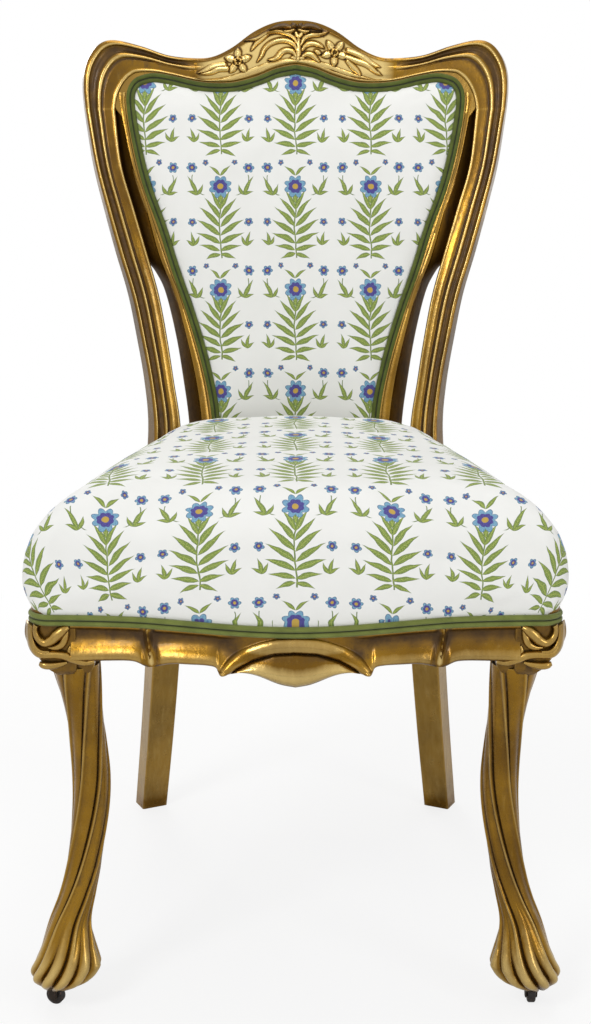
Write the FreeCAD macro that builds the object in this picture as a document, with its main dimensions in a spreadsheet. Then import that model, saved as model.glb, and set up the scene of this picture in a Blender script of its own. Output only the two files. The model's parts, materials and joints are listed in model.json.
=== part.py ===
# Carved and gilded side chair with a sprung seat, a padded splat and front casters.
# Millimetres. +X is to the viewer's right of the chair's front, +Y to the rear, +Z up.
# Everything is drawn with Y = 0 at the front casters and moved at the end,
# so that the origin is on the floor in the middle of the chair's outline.
import FreeCAD, Part
import math
import os
import Sketcher
from FreeCAD import Placement, Rotation, Vector

doc = FreeCAD.newDocument("side_chair")

# The driving sizes, in one sheet. Lengths are millimetres and angles are degrees.
SIZES = {
    # the whole chair
    "rail_top": 410, "back_rise": 554, "back_half_width": 250,
    "front_half_width": 250, "rear_half_width": 172, "seat_run": 429,
    "caster_inset": 18.5, "block_overhang": 14,
    # seat rails
    "rail_height": 52, "rail_thickness": 28, "side_bow": 9, "front_bulge": 22,
    "rabbet_depth": 6, "rabbet_height": 19, "web_ledge_width": 14, "web_ledge_rise": 8,
    "front_corner_radius": 20, "rear_corner_radius": 10,
    "apron_drop": 14, "apron_overrun": 1.5, "rear_rail_height": 58, "rear_rail_front": 10, "rear_rail_back": 12,
    "seat_hollow": 30, "seat_back_gap": 25,
    # joints between the wooden members
    "tenon_length": 20, "tenon_thickness": 10, "tenon_height": 30, "joint_clearance": 0.15,
    "dowel_diameter": 8, "dowel_length": 50, "brace_leg": 88, "brace_height": 28,
    "brace_root": 12,
    # back frame
    "back_depth": 26, "crest_depth": 27, "post_depth_low": 33, "rake_angle": 9.65,
    "lean_start": 30, "barrel_radius_low": 378, "barrel_radius_high": 1128,
    "groove_relief": 5,
    "rear_foot_width": 32.5, "rear_foot_depth": 27.3, "rear_foot_turn": 26,
    "rear_foot_splay": 28.5, "rear_foot_kick": 59, "prism_drop": 70,
    "front_ledge": 10, "rear_ledge": 4, "stile_bevel": 22, "ledge_root": 1.5,
    "shoe_height": 68, "shoe_tongue": 9,
    # back upholstery
    "back_piping_proud": 1, "back_piping_thickness": 6, "pad_crown": 13,
    "pad_shoulder": 22, "sheet_thickness": 1.2, "panel_thickness": 3, "soft_gap": 0.3,
    # front legs
    "block_width": 64, "block_depth": 46, "block_drop": 44,
    "flute_depth": 3, "leg_twist": 195, "volute_diameter": 44, "volute_relief": 4,
    "volute_eye": 16, "leg_set_back": 28, "foot_height": 14.5,
    "leg_inset": 52.5, "leg_girth": 17,
    # seat upholstery
    "seat_piping_height": 10.5, "seat_piping_proud": 2, "seat_crown": 113,
    "crown_spread": 150,
    "cover_thickness": 2, "hessian_rise": 42, "hessian_inset": 30,
    "web_width": 50, "web_thickness": 1.5, "dust_cover_thickness": 1,
    "spring_wire": 3.6, "spring_diameter": 78, "spring_waist": 52, "spring_spread": 85,
    "spring_front": 135, "web_spacing": 75,
    # casters
    "wheel_diameter": 18, "wheel_width": 7.5, "wheel_edge": 1, "axle_diameter": 3, "fork_gap": 0.5,
    "fork_cheek": 1.6, "caster_trail": 4, "stem_diameter": 6, "socket_diameter": 9,
    "stem_length": 22, "running_clearance": 0.05, "fork_crown": 3,
    "recess_radius": 13, "horn_width": 9, "left_caster_turn": 70, "right_caster_turn": 0,
}

sheet = doc.addObject("Spreadsheet::Sheet", "sizes")
for row, (name, value) in enumerate(SIZES.items(), start=1):
    sheet.set("A%d" % row, name)
    sheet.set("B%d" % row, str(value))
    sheet.setAlias("B%d" % row, name)
doc.recompute()


def size(name):
    """A driving size, as the sheet holds it."""
    return float(sheet.get(name))


RIGHT, LEFT = 1, -1
SIDE_NAME = {LEFT: "left", RIGHT: "right"}
nodes = []


def keep(label, shape):
    """Make a sub-part from a finished shape."""
    item = doc.addObject("Part::Feature", label)
    item.Label = label
    item.Shape = shape
    nodes.append(item)
    return item


def mirrored(shape):
    """The same shape on the chair's other side."""
    return shape.mirror(Vector(0, 0, 0), Vector(1, 0, 0))


def sided(shape, side):
    """A shape drawn for the right side, put on the side that is asked for."""
    return shape if side == RIGHT else mirrored(shape)


def one_solid(shape):
    """A boolean's result as the single solid that it should be."""
    solids = sorted(shape.Solids, key=lambda solid: solid.Volume)
    return solids[-1]


def box(x_low, x_high, y_low, y_high, z_low, z_high):
    corner = Vector(x_low, y_low, z_low)
    return Part.makeBox(x_high - x_low, y_high - y_low, z_high - z_low, corner)


def line(start, end):
    return Part.LineSegment(start, end).toShape()


def arc(start, middle, end):
    return Part.Arc(start, middle, end).toShape()


def polygon_prism(points, height):
    """A straight prism on a plane outline of straight edges."""
    return Part.Face(closed_outline(points)).extrude(Vector(0, 0, height))


def between(low, high, share):
    return low + (high - low) * share


def closed_outline(points):
    return Part.makePolygon(points + [points[0]])


def skinned(sections, thin=False):
    """A solid drawn from outline to outline with flat three-sided facets, and flat ends.
    A thin layer's far half is divided the other way, so that its two faces run parallel."""
    faces = [Part.Face(closed_outline(sections[0])), Part.Face(closed_outline(sections[-1]))]
    for low, high in zip(sections, sections[1:]):
        for i in range(len(low)):
            j = (i + 1) % len(low)
            corners = [low[i], low[j], high[j], high[i]]
            if thin and i >= len(low) // 2:
                corners = corners[1:] + corners[:1]
            faces.append(Part.Face(closed_outline(corners[:3])))
            faces.append(Part.Face(closed_outline([corners[0]] + corners[2:])))
    skin = Part.Compound(faces)
    skin.sewShape()
    solid = Part.Solid(skin.Shells[0])
    if solid.Volume < 0:
        solid.reverse()
    return solid


# Heights that more than one piece follows
rail_top = size("rail_top")
rail_bottom = rail_top - size("rail_height")
show_top = rail_top - size("rabbet_height")
piping_top = show_top + size("seat_piping_height")
web_height = rail_bottom + size("web_ledge_rise")
lean_start = rail_top + size("lean_start")
prism_bottom = rail_top - size("prism_drop")
caster_x = size("front_half_width") - size("caster_inset")
front_y = -size("block_overhang")
rake = math.tan(math.radians(size("rake_angle")))

# The bottom of the upper back, as a share of its rise, and the shares where the posts end
POST_TOP_SHARE = 0.816


# The posts' front elevation: share of the rise, then the inner and outer edges' shares
# of the back's half width.
POST_SHARES = [
    (0.054, 0.534, 0.714), (0.162, 0.539, 0.702), (0.253, 0.569, 0.720),
    (0.343, 0.600, 0.754), (0.433, 0.638, 0.794), (0.523, 0.694, 0.852),
    (0.614, 0.753, 0.906), (0.704, 0.810, 0.955), (POST_TOP_SHARE, 0.840, 0.996),
]

# The crest rail's front elevation, from the ear's foot to the middle: the outer edge's
# shares across and up, then the inner edge's.
CREST_SHARES = [
    (0.996, POST_TOP_SHARE, 0.840, POST_TOP_SHARE), (1.003, 0.857, 0.830, 0.841),
    (0.998, 0.894, 0.812, 0.860), (0.973, 0.925, 0.793, 0.873),
    (0.926, 0.950, 0.768, 0.884), (0.857, 0.957, 0.736, 0.891),
    (0.734, 0.945, 0.660, 0.892), (0.608, 0.927, 0.584, 0.887),
    (0.480, 0.9215, 0.472, 0.876), (0.395, 0.925, 0.380, 0.872),
    (0.304, 0.944, 0.288, 0.874), (0.200, 0.9765, 0.184, 0.886),
    (0.100, 0.9955, 0.092, 0.902), (0.0, 1.0, 0.0, 0.910),
]


# The hollow back: a barrel that leans back and flattens towards the crest
def post_middle_x():
    inner_share, outer_share = POST_SHARES[0][1:]
    return (inner_share + outer_share) / 2 * size("back_half_width")


back_line_y = size("seat_run") + post_middle_x() ** 2 / (2 * size("barrel_radius_low"))


def back_curve(height):
    """One over the barrel's radius at a height."""
    share = (height - lean_start) / (POST_TOP_SHARE * size("back_rise") - size("lean_start"))
    low, high = 1 / size("barrel_radius_low"), 1 / size("barrel_radius_high")
    return between(low, high, min(max(share, 0), 1))


def back_y(x, height):
    """The middle of the back frame's depth, at a place across it and a height."""
    lean = rake * max(height - lean_start, 0)
    return back_line_y + lean - back_curve(height) * x * x / 2


def back_normal(x, height):
    """The level direction straight through the back frame, towards the rear."""
    direction = Vector(back_curve(height) * x, 1, 0)
    return direction.normalize()


def back_point(across_share, rise_share):
    """A place in the back's front elevation: across it, and up it."""
    return across_share * size("back_half_width"), rail_top + rise_share * size("back_rise")


# The moulding across the face from the inner edge to the outer one, each with its depth as
# a share of the cove's: an inner ridge, a broad field, a bead, a cove and a thin outer bead.
MOULDING_SHARES = [
    (0.0, 0.35), (0.05, 0.0), (0.13, 0.20), (0.38, 0.30), (0.44, 0.55), (0.55, 0.04),
    (0.62, 0.50), (0.73, 1.0), (0.85, 0.40), (0.91, 0.15), (1.0, 0.60),
]


def moulded_section(inner, outer, depth):
    """The moulded frame member's section between two places in the front elevation."""
    middle_x = (inner[0] + outer[0]) / 2
    middle_z = (inner[1] + outer[1]) / 2
    through = back_normal(middle_x, middle_z)
    drawn_in = through.x * depth / 2
    inner_x = inner[0] + drawn_in
    outer_x = outer[0] - drawn_in
    start = Vector(inner_x, back_y(inner_x, inner[1]), inner[1]) - through * (depth / 2)
    end = Vector(outer_x, back_y(outer_x, outer[1]), outer[1]) - through * (depth / 2)
    groove = size("groove_relief")
    points = [start + (end - start) * across_share + through * (groove * sunk_share)
              for across_share, sunk_share in MOULDING_SHARES]
    return points + [end + through * depth, start + through * depth]


# Posts: each is one piece of wood from the floor to the crest's ear.
# The leg's shares are of its way down and of its way out to the foot.
CORNERS = [(-1, -1), (1, -1), (1, 1), (-1, 1)]
TAPER_SHARE = 0.77
REAR_LEG_SHARES = [(0, 0), (0.3, 0.16), (0.65, 0.54), (1, 1)]


def post_depth(rise_share):
    share = (rise_share - POST_SHARES[0][0]) / (POST_TOP_SHARE - POST_SHARES[0][0])
    return between(size("post_depth_low"), size("crest_depth"), min(share / TAPER_SHARE, 1))


def post_square():
    """The four corners in plan of the post where the seat's rails join it.

    They are the inner front, outer front, outer rear and inner rear ones.
    """
    rise_share, inner_share, outer_share = POST_SHARES[0]
    depth = size("post_depth_low")
    inner_x, level = back_point(inner_share, rise_share)
    outer_x = back_point(outer_share, rise_share)[0]
    middle_x = (inner_x + outer_x) / 2
    through = back_normal(middle_x, level)
    across = Vector(through.y, -through.x, 0)
    width = (outer_x - inner_x - depth * through.x) / through.y
    centre = Vector(middle_x, back_y(middle_x, level), 0)
    return [centre + across * (a * width / 2) + through * (b * depth / 2) for a, b in CORNERS]


def right_post(square, joint_prism):
    upper_sections = []
    for rise_share, inner_share, outer_share in POST_SHARES:
        inner = back_point(inner_share, rise_share)
        outer = back_point(outer_share, rise_share)
        upper_sections.append(moulded_section(inner, outer, post_depth(rise_share)))
    upper = skinned(upper_sections)

    # the leg below the seat tapers, splays out and kicks back to the floor
    turn = math.radians(size("rear_foot_turn"))
    across = Vector(math.cos(turn), -math.sin(turn), 0) * (size("rear_foot_width") / 2)
    through = Vector(math.sin(turn), math.cos(turn), 0) * (size("rear_foot_depth") / 2)
    centre = (square[0] + square[2]) * 0.5
    centre = centre + Vector(size("rear_foot_splay"), size("rear_foot_kick"), 0)
    foot = [centre + across * a + through * b for a, b in CORNERS]
    sections = []
    for drop_share, move_share in REAR_LEG_SHARES:
        height = Vector(0, 0, prism_bottom * (1 - drop_share))
        sections.append([between(square[i], foot[i], move_share) + height for i in range(4)])
    leg = skinned(sections)
    return leg.fuse(joint_prism).fuse(upper).removeSplitter()


# Crest rail: the ears and the humped middle, with the posts' moulding carried round
def crest_rail():
    sections = []
    for outer_across, outer_rise, inner_across, inner_rise in CREST_SHARES:
        inner = back_point(inner_across, inner_rise)
        outer = back_point(outer_across, outer_rise)
        sections.append(moulded_section(inner, outer, size("crest_depth")))
    half = skinned(sections)
    return half.fuse(mirrored(half)).removeSplitter()


# Plan outlines of the seat: the rails' show faces, and everything that follows them
front_radius = size("front_corner_radius")
side_start = Vector(size("front_half_width"), front_y + front_radius, 0)
side_end = Vector(size("rear_half_width"), size("seat_run"), 0)
side_middle = (side_start + side_end) * 0.5 + Vector(size("side_bow"), 0, 0)
side_circle = Part.Circle(side_start, side_middle, side_end)

# The front edge, as shares of its half width and of its bulge
PINCH_SHARE = 0.54
PINCH_BULGE_SHARE = 0.36
REVERSE_BULGE_SHARE = 0.08
# How far a round corner's middle lies in from the square corner, as a share of its radius
BEND_SHARE = 1 - math.sqrt(0.5)


def side_x(y, inset):
    """The seat's bowed side, drawn in by an inset."""
    radius = side_circle.Radius - inset
    rise = y - side_circle.Center.y
    return side_circle.Center.x + math.sqrt(radius * radius - rise * rise)


def seat_ring(inset, height, rear_inset=None, chords=0):
    """A level closed outline of the seat, drawn in from the rails' show faces.

    Three arcs make the serpentine front; the sides bow, and the rear is hollow. Where a
    number of chords is asked for, the points of that many on each arc come back instead.
    """
    rear_inset = inset if rear_inset is None else rear_inset
    front = front_y + inset
    bulge = size("front_bulge")
    rear = back_line_y - size("seat_back_gap") - rear_inset
    rear_corner = size("rear_corner_radius")
    start_y = front + front_radius
    front_x = side_x(start_y, inset)
    front_start = front_x - front_radius
    pinch_x = PINCH_SHARE * front_x
    hollow = size("seat_hollow") * (side_x(rear, inset) / size("rear_half_width")) ** 2
    end_y = rear - hollow - rear_corner
    rear_x = side_x(end_y, inset)
    middle_y = (start_y + end_y) / 2

    def at(x, y):
        return Vector(x, y, height)

    right = [
        at(pinch_x, front - bulge * PINCH_BULGE_SHARE),
        at((front_start + pinch_x) / 2, front - bulge * REVERSE_BULGE_SHARE),
        at(front_start, front),
        at(front_x - BEND_SHARE * front_radius, front + BEND_SHARE * front_radius),
        at(front_x, start_y),
        at(side_x(middle_y, inset), middle_y),
        at(rear_x, end_y),
        at(rear_x - BEND_SHARE * rear_corner, end_y + (1 - BEND_SHARE) * rear_corner),
        at(rear_x - rear_corner, rear - hollow),
    ]
    left = [Vector(-point.x, point.y, height) for point in reversed(right)]
    points = [at(0, front - bulge)] + right + [at(0, rear)] + left
    starts = points[-1:] + points[1:-1:2]
    middles = points[::2]
    arcs = [arc(start, middle, end)
            for start, middle, end in zip(starts, middles, starts[1:] + starts[:1])]
    if not chords:
        return Part.Wire(arcs)
    return [point for edge in arcs for point in edge.discretize(Number=chords + 1)[:-1]]


def seat_prism(inset, z_low, z_high, rear_inset=None):
    ring = seat_ring(inset, z_low, rear_inset)
    return Part.Face(ring).extrude(Vector(0, 0, z_high - z_low))


# How far the rails run on behind the seat's own outline, to reach the posts
rear_reach = -size("post_depth_low")
rail_floor = rail_bottom - size("rail_height")


def rail_band():
    """All the rails' wood in one loop, before it is cut into rails."""
    thickness = size("rail_thickness")
    band = seat_prism(0, rail_floor, rail_top, rear_reach)
    band = band.cut(seat_prism(thickness, rail_floor, rail_top, rear_reach))
    show = seat_prism(-size("rabbet_depth"), show_top, rail_top, rear_reach * 2)
    rabbet_face = seat_prism(size("rabbet_depth"), show_top, rail_top, rear_reach * 2)
    band = band.cut(show.cut(rabbet_face))
    ledge = thickness - size("web_ledge_width")
    return band.cut(seat_prism(ledge, rail_floor, web_height, rear_reach * 2))


block_inner_x = size("front_half_width") - size("block_width")
block_back_y = front_y + size("block_depth")
half_tenon = size("tenon_thickness") / 2
tenon_high = show_top
tenon_low = tenon_high - size("tenon_height") + size("web_ledge_rise")
clearance = size("joint_clearance")

# The front rail's lower edge, from the middle outwards: shares of the half width, then of
# the drop below the rails. The pinches and the arch's ends reach down again.
APRON_SHARES = [
    (0.0, 1.0), (0.06, 0.79), (0.14, 0.27), (0.202, 0.14), (0.272, 0.36),
    (0.30, -0.13), (0.40, -0.12), (0.46, -0.04), (0.54, 0.28), (0.60, -0.04), (0.70, 0.0),
    (0.75, 0.10),
]
APRON_RUNS = [(0, 4), (4, 5), (5, 8), (8, 11)]
tenon_y = front_y + size("rail_thickness") / 2


def front_rail():
    half_width = size("front_half_width")
    drop = size("apron_drop")
    depth_low = front_y - size("front_bulge") * 2
    points = [Vector(x * half_width, depth_low, rail_bottom - z * drop) for x, z in APRON_SHARES]
    points[-1].x = block_inner_x + size("apron_overrun")
    lower_edges = []
    for first, last in APRON_RUNS:
        curve = Part.BSplineCurve()
        curve.interpolate(points[first:last + 1])
        lower_edges.append(curve.toShape())
    end, middle = points[-1], points[0]
    high_end = Vector(end.x, depth_low, rail_top)
    high_middle = Vector(middle.x, depth_low, rail_top)
    outline = Part.Wire(lower_edges + [line(end, high_end), line(high_end, high_middle),
                                       line(high_middle, middle)])
    half = Part.Face(outline).extrude(Vector(0, block_back_y - depth_low, 0))
    elevation = half.fuse(mirrored(half))
    reach = box(-block_inner_x, block_inner_x, depth_low, block_back_y, rail_floor, rail_top)
    rail = one_solid(rail_band().common(elevation).common(reach))
    for side in (LEFT, RIGHT):
        rail = rail.fuse(sided(front_tenon(0), side))
    return rail.removeSplitter()


def front_tenon(grow):
    """The front rail's tenon on the right, or grown by a clearance, its mortise."""
    length = size("tenon_length")
    return box(block_inner_x - length / 2, block_inner_x + length + grow,
               tenon_y - half_tenon - grow, tenon_y + half_tenon + grow,
               tenon_low - grow, tenon_high + grow)


def side_tenon(grow):
    """The right side rail's front tenon, or its mortise."""
    length = size("tenon_length")
    middle_x = side_x(block_back_y, 0) - size("rail_thickness") / 2
    return box(middle_x - half_tenon - grow, middle_x + half_tenon + grow,
               block_back_y - length / 2 - grow, block_back_y + length / 2,
               tenon_low - grow, tenon_high + grow)


def rear_tenon(post_prism, grow):
    """The right side rail's rear tenon, which points at the middle of the post."""
    centre = post_prism.CenterOfMass
    length = size("post_depth_low") / 2 + size("tenon_length")
    tenon = box(-half_tenon - grow, half_tenon + grow, -length, grow,
                tenon_low - grow, tenon_high + grow)
    run = side_middle - side_end
    turn = math.degrees(math.atan2(run.x, -run.y))
    tenon.Placement = Placement(Vector(centre.x, centre.y, 0), Rotation(Vector(0, 0, 1), turn))
    return tenon


def right_side_rail(post_prism):
    stop = side_end.y - size("tenon_thickness")
    reach = box(0, size("front_half_width") * 2, block_back_y, stop, rail_bottom, rail_top)
    rail = one_solid(rail_band().common(reach).cut(post_prism))
    return rail.fuse(side_tenon(0)).fuse(rear_tenon(post_prism, 0)).removeSplitter()


def cross_tenon(square, grow):
    """The rear rail's stub tenon, which enters the post's inner side."""
    across = (square[1] - square[0]).normalize()
    length = size("tenon_length") / 2
    middle = (square[0] + square[3]) * 0.5
    tenon = box(-length, length + grow, -half_tenon - grow, half_tenon + grow,
                tenon_low - grow, tenon_high + grow)
    turn = math.degrees(math.atan2(across.y, across.x))
    tenon.Placement = Placement(Vector(middle.x, middle.y, 0), Rotation(Vector(0, 0, 1), turn))
    return tenon


def rear_rail(square, post_prism):
    """The rear seat rail: the seat's edge in front, the splat's frame behind."""
    height = size("rear_rail_height")
    bottom = rail_top - height

    def at(x, y):
        return Vector(x, y, bottom)

    end_x = (square[0].x + square[3].x) / 2 + size("tenon_thickness")
    rear = back_line_y - size("seat_back_gap") - size("rear_rail_front")
    hollow = size("seat_hollow") * (end_x / size("rear_half_width")) ** 2
    back_end = back_y(end_x, bottom) + size("rear_rail_back")
    front_edge = arc(at(-end_x, rear - hollow), at(0, rear), at(end_x, rear - hollow))
    back_edge = arc(at(end_x, back_end), at(0, back_line_y + size("rear_rail_back")),
                    at(-end_x, back_end))
    outline = Part.Wire([front_edge, line(at(end_x, rear - hollow), at(end_x, back_end)),
                         back_edge, line(at(-end_x, back_end), at(-end_x, rear - hollow))])
    rail = Part.Face(outline).extrude(Vector(0, 0, height))
    forward = (square[0] - square[3]) * 2
    lift = Vector(0, 0, bottom)
    front_clear = polygon_prism([square[0] + lift, square[1] + lift,
                                 square[1] + forward + lift, square[0] + forward + lift], height)
    for side in (LEFT, RIGHT):
        rail = rail.cut(sided(post_prism, side)).cut(sided(front_clear, side))
    rail = one_solid(rail)
    web_ledge = size("rear_rail_front") - size("web_ledge_width")
    rail = rail.cut(seat_prism(0, bottom, web_height, web_ledge))
    for side in (LEFT, RIGHT):
        rail = rail.fuse(sided(cross_tenon(square, 0), side))
    return one_solid(rail.removeSplitter())


# Front legs: a square block for the rails, a corner volute, and a fluted and twisted leg.
# Shares of the leg's height, of its inset from the caster's line, of its girth and of its
# set back.
LEG_SHARES = [
    (0.0, 0.0, 1.15, 0.0), (0.044, 0.126, 1.77, 0.0), (0.080, 0.203, 1.86, 0.0),
    (0.131, 0.30, 1.635, 0.0), (0.218, 0.365, 1.165, 0.18), (0.297, 0.576, 0.99, 0.39),
    (0.381, 0.756, 0.99, 0.64), (0.5256, 0.944, 1.02, 0.96), (0.634, 1.0, 1.02, 1.0),
    (0.745, 0.956, 1.0, 0.89), (0.86, 0.880, 1.06, 0.66), (1.0, 0.72, 1.30, 0.5),
]
FLUTES = 6
STEPS_PER_FLUTE = 3
block_bottom = show_top - size("block_drop")


def fluted_section(centre, girth, depth, turn):
    """A level section of the leg: hollow flutes that meet in soft ribs."""
    points = []
    count = FLUTES * STEPS_PER_FLUTE
    for step in range(count):
        angle = turn + 2 * math.pi * step / count
        sunk = depth * math.sin(math.pi * step / STEPS_PER_FLUTE) ** 2
        radius = girth - sunk
        points.append(centre + Vector(radius * math.cos(angle), radius * math.sin(angle), 0))
    return points


def right_front_leg(side_mortise, recess):
    sections = []
    leg_height = block_bottom - size("foot_height")
    for height_share, inset_share, girth_share, back_share in LEG_SHARES:
        inset = between(size("caster_inset"), size("leg_inset"), inset_share)
        centre = Vector(size("front_half_width") - inset, size("leg_set_back") * back_share,
                        size("foot_height") + leg_height * height_share)
        turn = -math.radians(size("leg_twist")) * height_share
        sections.append(fluted_section(centre, size("leg_girth") * girth_share,
                                       size("flute_depth"), turn))
    leg = skinned(sections)
    reach = box(block_inner_x, size("front_half_width") * 2, front_y - size("front_bulge"),
                block_back_y, block_bottom, rail_top)
    block = seat_prism(0, block_bottom, show_top)
    block = block.fuse(seat_prism(size("rabbet_depth"), show_top, rail_top)).common(reach)
    radius = size("volute_diameter") / 2
    relief = size("volute_relief")
    centre = Vector(size("front_half_width") - radius, front_y - relief, show_top - radius)
    rear = Vector(0, 1, 0)
    disc = Part.makeCylinder(radius, relief + radius, centre, rear)
    ring = Part.makeCylinder(radius - relief, relief, centre, rear)
    eye = Part.makeCylinder(size("volute_eye") / 2, relief, centre, rear)
    volute = disc.cut(ring.cut(eye))
    solid = block.fuse(leg).fuse(volute)
    return solid.cut(side_mortise).cut(front_tenon(clearance)).cut(recess).removeSplitter()


# Back panel: outlines in the front elevation, from the shoe rail up the side, round the
# ear and along under the crest to the middle. The first is the opening in the frame, which
# the outer edge of the welt follows, and the second is the edge of the open fabric.
OPENING_SHARES = [
    (0.404, 0.123), (0.422, 0.2076), (0.466, 0.298), (0.525, 0.388), (0.595, 0.478),
    (0.658, 0.5686), (0.730, 0.659), (0.778, 0.749), (0.801, 0.816), (0.800, 0.852),
    (0.768, 0.877), (0.716, 0.888), (0.660, 0.891), (0.584, 0.886), (0.472, 0.875),
    (0.380, 0.871), (0.288, 0.873), (0.184, 0.885), (0.092, 0.901), (0.0, 0.909),
]
FABRIC_SHARES = [
    (0.360, 0.123), (0.379, 0.2076), (0.425, 0.298), (0.483, 0.388), (0.546, 0.478),
    (0.596, 0.5686), (0.665, 0.659), (0.726, 0.749), (0.757, 0.816), (0.762, 0.848),
    (0.740, 0.869), (0.690, 0.8775), (0.55, 0.871), (0.409, 0.858), (0.28, 0.8535),
    (0.179, 0.865), (0.092, 0.879), (0.0, 0.887),
]
panel_middle = rail_top + size("back_rise") / 2


def panel_prism(shares, grow):
    """A prism through the whole back on one of the panel's outlines."""
    right = []
    for across_share, rise_share in shares:
        x, z = back_point(across_share, rise_share)
        outward = Vector(x, 0, z - panel_middle).normalize()
        right.append(Vector(x, 0, z) + outward * grow)
    left = [Vector(-point.x, 0, point.z) for point in reversed(right[:-1])]
    outline = Part.makePolygon(right + left + [right[0]])
    return Part.Face(outline).extrude(Vector(0, size("seat_run") * 2, 0))


def depth_y(x, height, sunk):
    """A place's Y, measured in from the front of the back frame."""
    return back_y(x, height) - size("back_depth") / 2 + sunk


shoe_top = rail_top + size("shoe_height")
SLAB_SHARES = [0.0] + [row[0] for row in POST_SHARES[::2]] + [0.98]
SLAB_WIDTH_SHARE = 0.9
SLAB_CHORDS = 8


def back_slab(shallow, deep):
    """The hollow and leaning layer of the back between two depths."""
    wide = size("back_half_width") * SLAB_WIDTH_SHARE
    places = [between(-wide, wide, i / SLAB_CHORDS) for i in range(SLAB_CHORDS + 1)]
    sections = []
    for share in SLAB_SHARES:
        height = rail_top + share * size("back_rise")
        face = [Vector(x, depth_y(x, height, shallow), height) for x in places]
        sections.append(face + [Vector(x, depth_y(x, height, deep), height)
                                for x in reversed(places)])
    return skinned(sections, thin=True)


def above(height):
    far = size("back_half_width") * 2
    return box(-far, far, 0, far * 4, height, height + far * 2)


def ledge():
    """The tacking ledge round the panel's opening, for the stiles and crest to share."""
    ring = panel_prism(OPENING_SHARES, size("ledge_root")).cut(panel_prism(FABRIC_SHARES, 0))
    layer = back_slab(size("front_ledge"), size("back_depth") - size("rear_ledge"))
    return ring.common(layer).common(above(shoe_top))


# The splat's side members: share of the rise, then the opening's edge, the front face's
# outer edge and the bevelled outer side's rear edge.
STILE_SHARES = [
    (0.0, 0.396, 0.442, 0.480), (0.054, 0.398, 0.445, 0.484), (0.162, 0.412, 0.456, 0.496),
    (0.253, 0.442, 0.482, 0.523), (0.343, 0.494, 0.525, 0.5565), (0.433, 0.556, 0.577, 0.605),
    (0.478, 0.595, 0.619, 0.652), (0.523, 0.629, 0.657, 0.722), (0.614, 0.696, 0.7116, 0.780),
    (0.704, 0.757, 0.7756, 0.833), (0.816, 0.801, 0.825, 0.866), (0.850, 0.801, 0.832, 0.872),
]
EAR_SPLIT_SHARE = 0.846


def right_stile(post, crest, ledge_ring):
    sections = []
    deep = size("back_depth")
    for rise_share, inner_share, front_share, rear_share in STILE_SHARES:
        inner_x, height = back_point(inner_share, rise_share)
        front_x = front_share * size("back_half_width")
        rear_x = rear_share * size("back_half_width")
        outline = [(inner_x, 0), (front_x, 0), (rear_x, size("stile_bevel")), (rear_x, deep),
                   (inner_x, deep)]
        sections.append([Vector(x, depth_y(x, height, sunk), height) for x, sunk in outline])
    stile = skinned(sections)
    split = rail_top + EAR_SPLIT_SHARE * size("back_rise")
    right_half = box(0, size("back_half_width") * 2, 0, size("seat_run") * 2, 0, split)
    stile = stile.fuse(ledge_ring.common(right_half))
    return one_solid(one_solid(stile.cut(post)).cut(crest))


SHOE_CHORDS = 6


def shoe_rail(stile):
    wide = STILE_SHARES[1][1] * size("back_half_width")
    deep = size("back_depth")
    tongue = size("shoe_tongue")

    def slab(shallow, deepest, heights):
        places = [between(-wide, wide, i / SHOE_CHORDS) for i in range(SHOE_CHORDS + 1)]
        sections = []
        for height in heights:
            face = [Vector(x, depth_y(x, height, shallow), height) for x in places]
            sections.append(face + [Vector(x, depth_y(x, height, deepest), height)
                                    for x in reversed(places)])
        return skinned(sections)

    rail = slab(0, deep, [rail_top, lean_start, shoe_top])
    rail = rail.fuse(slab(size("front_ledge"), deep - size("rear_ledge"),
                          [shoe_top - tongue, shoe_top + tongue]))
    for side in (LEFT, RIGHT):
        rail = rail.cut(sided(stile, side))
    return one_solid(rail)


# The padded panel's crown: the shares at its shoulders, and up the back the share of the
# rise, then of the crown's height
FLANK_SHARE, FLANK_RISE_SHARE = 0.35, 0.55
SHOULDER_RISE_SHARE, CROWN_RISE_SHARE = 0.86, 0.965
CROWN_SHARES = [
    (0.10, 0.60), (0.20, 1.0), (0.52, 1.0), (0.74, 0.95), (0.84, 0.70), (0.92, 0.10),
]


def fabric_half_width(rise_share):
    """Half the open fabric's width at a height, from its outline's side."""
    side = FABRIC_SHARES[:9]
    for (x_low, z_low), (x_high, z_high) in zip(side, side[1:]):
        if rise_share <= z_high:
            return between(x_low, x_high, (rise_share - z_low) / (z_high - z_low))
    return side[-1][0] + size("soft_gap") / size("back_half_width")


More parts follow.
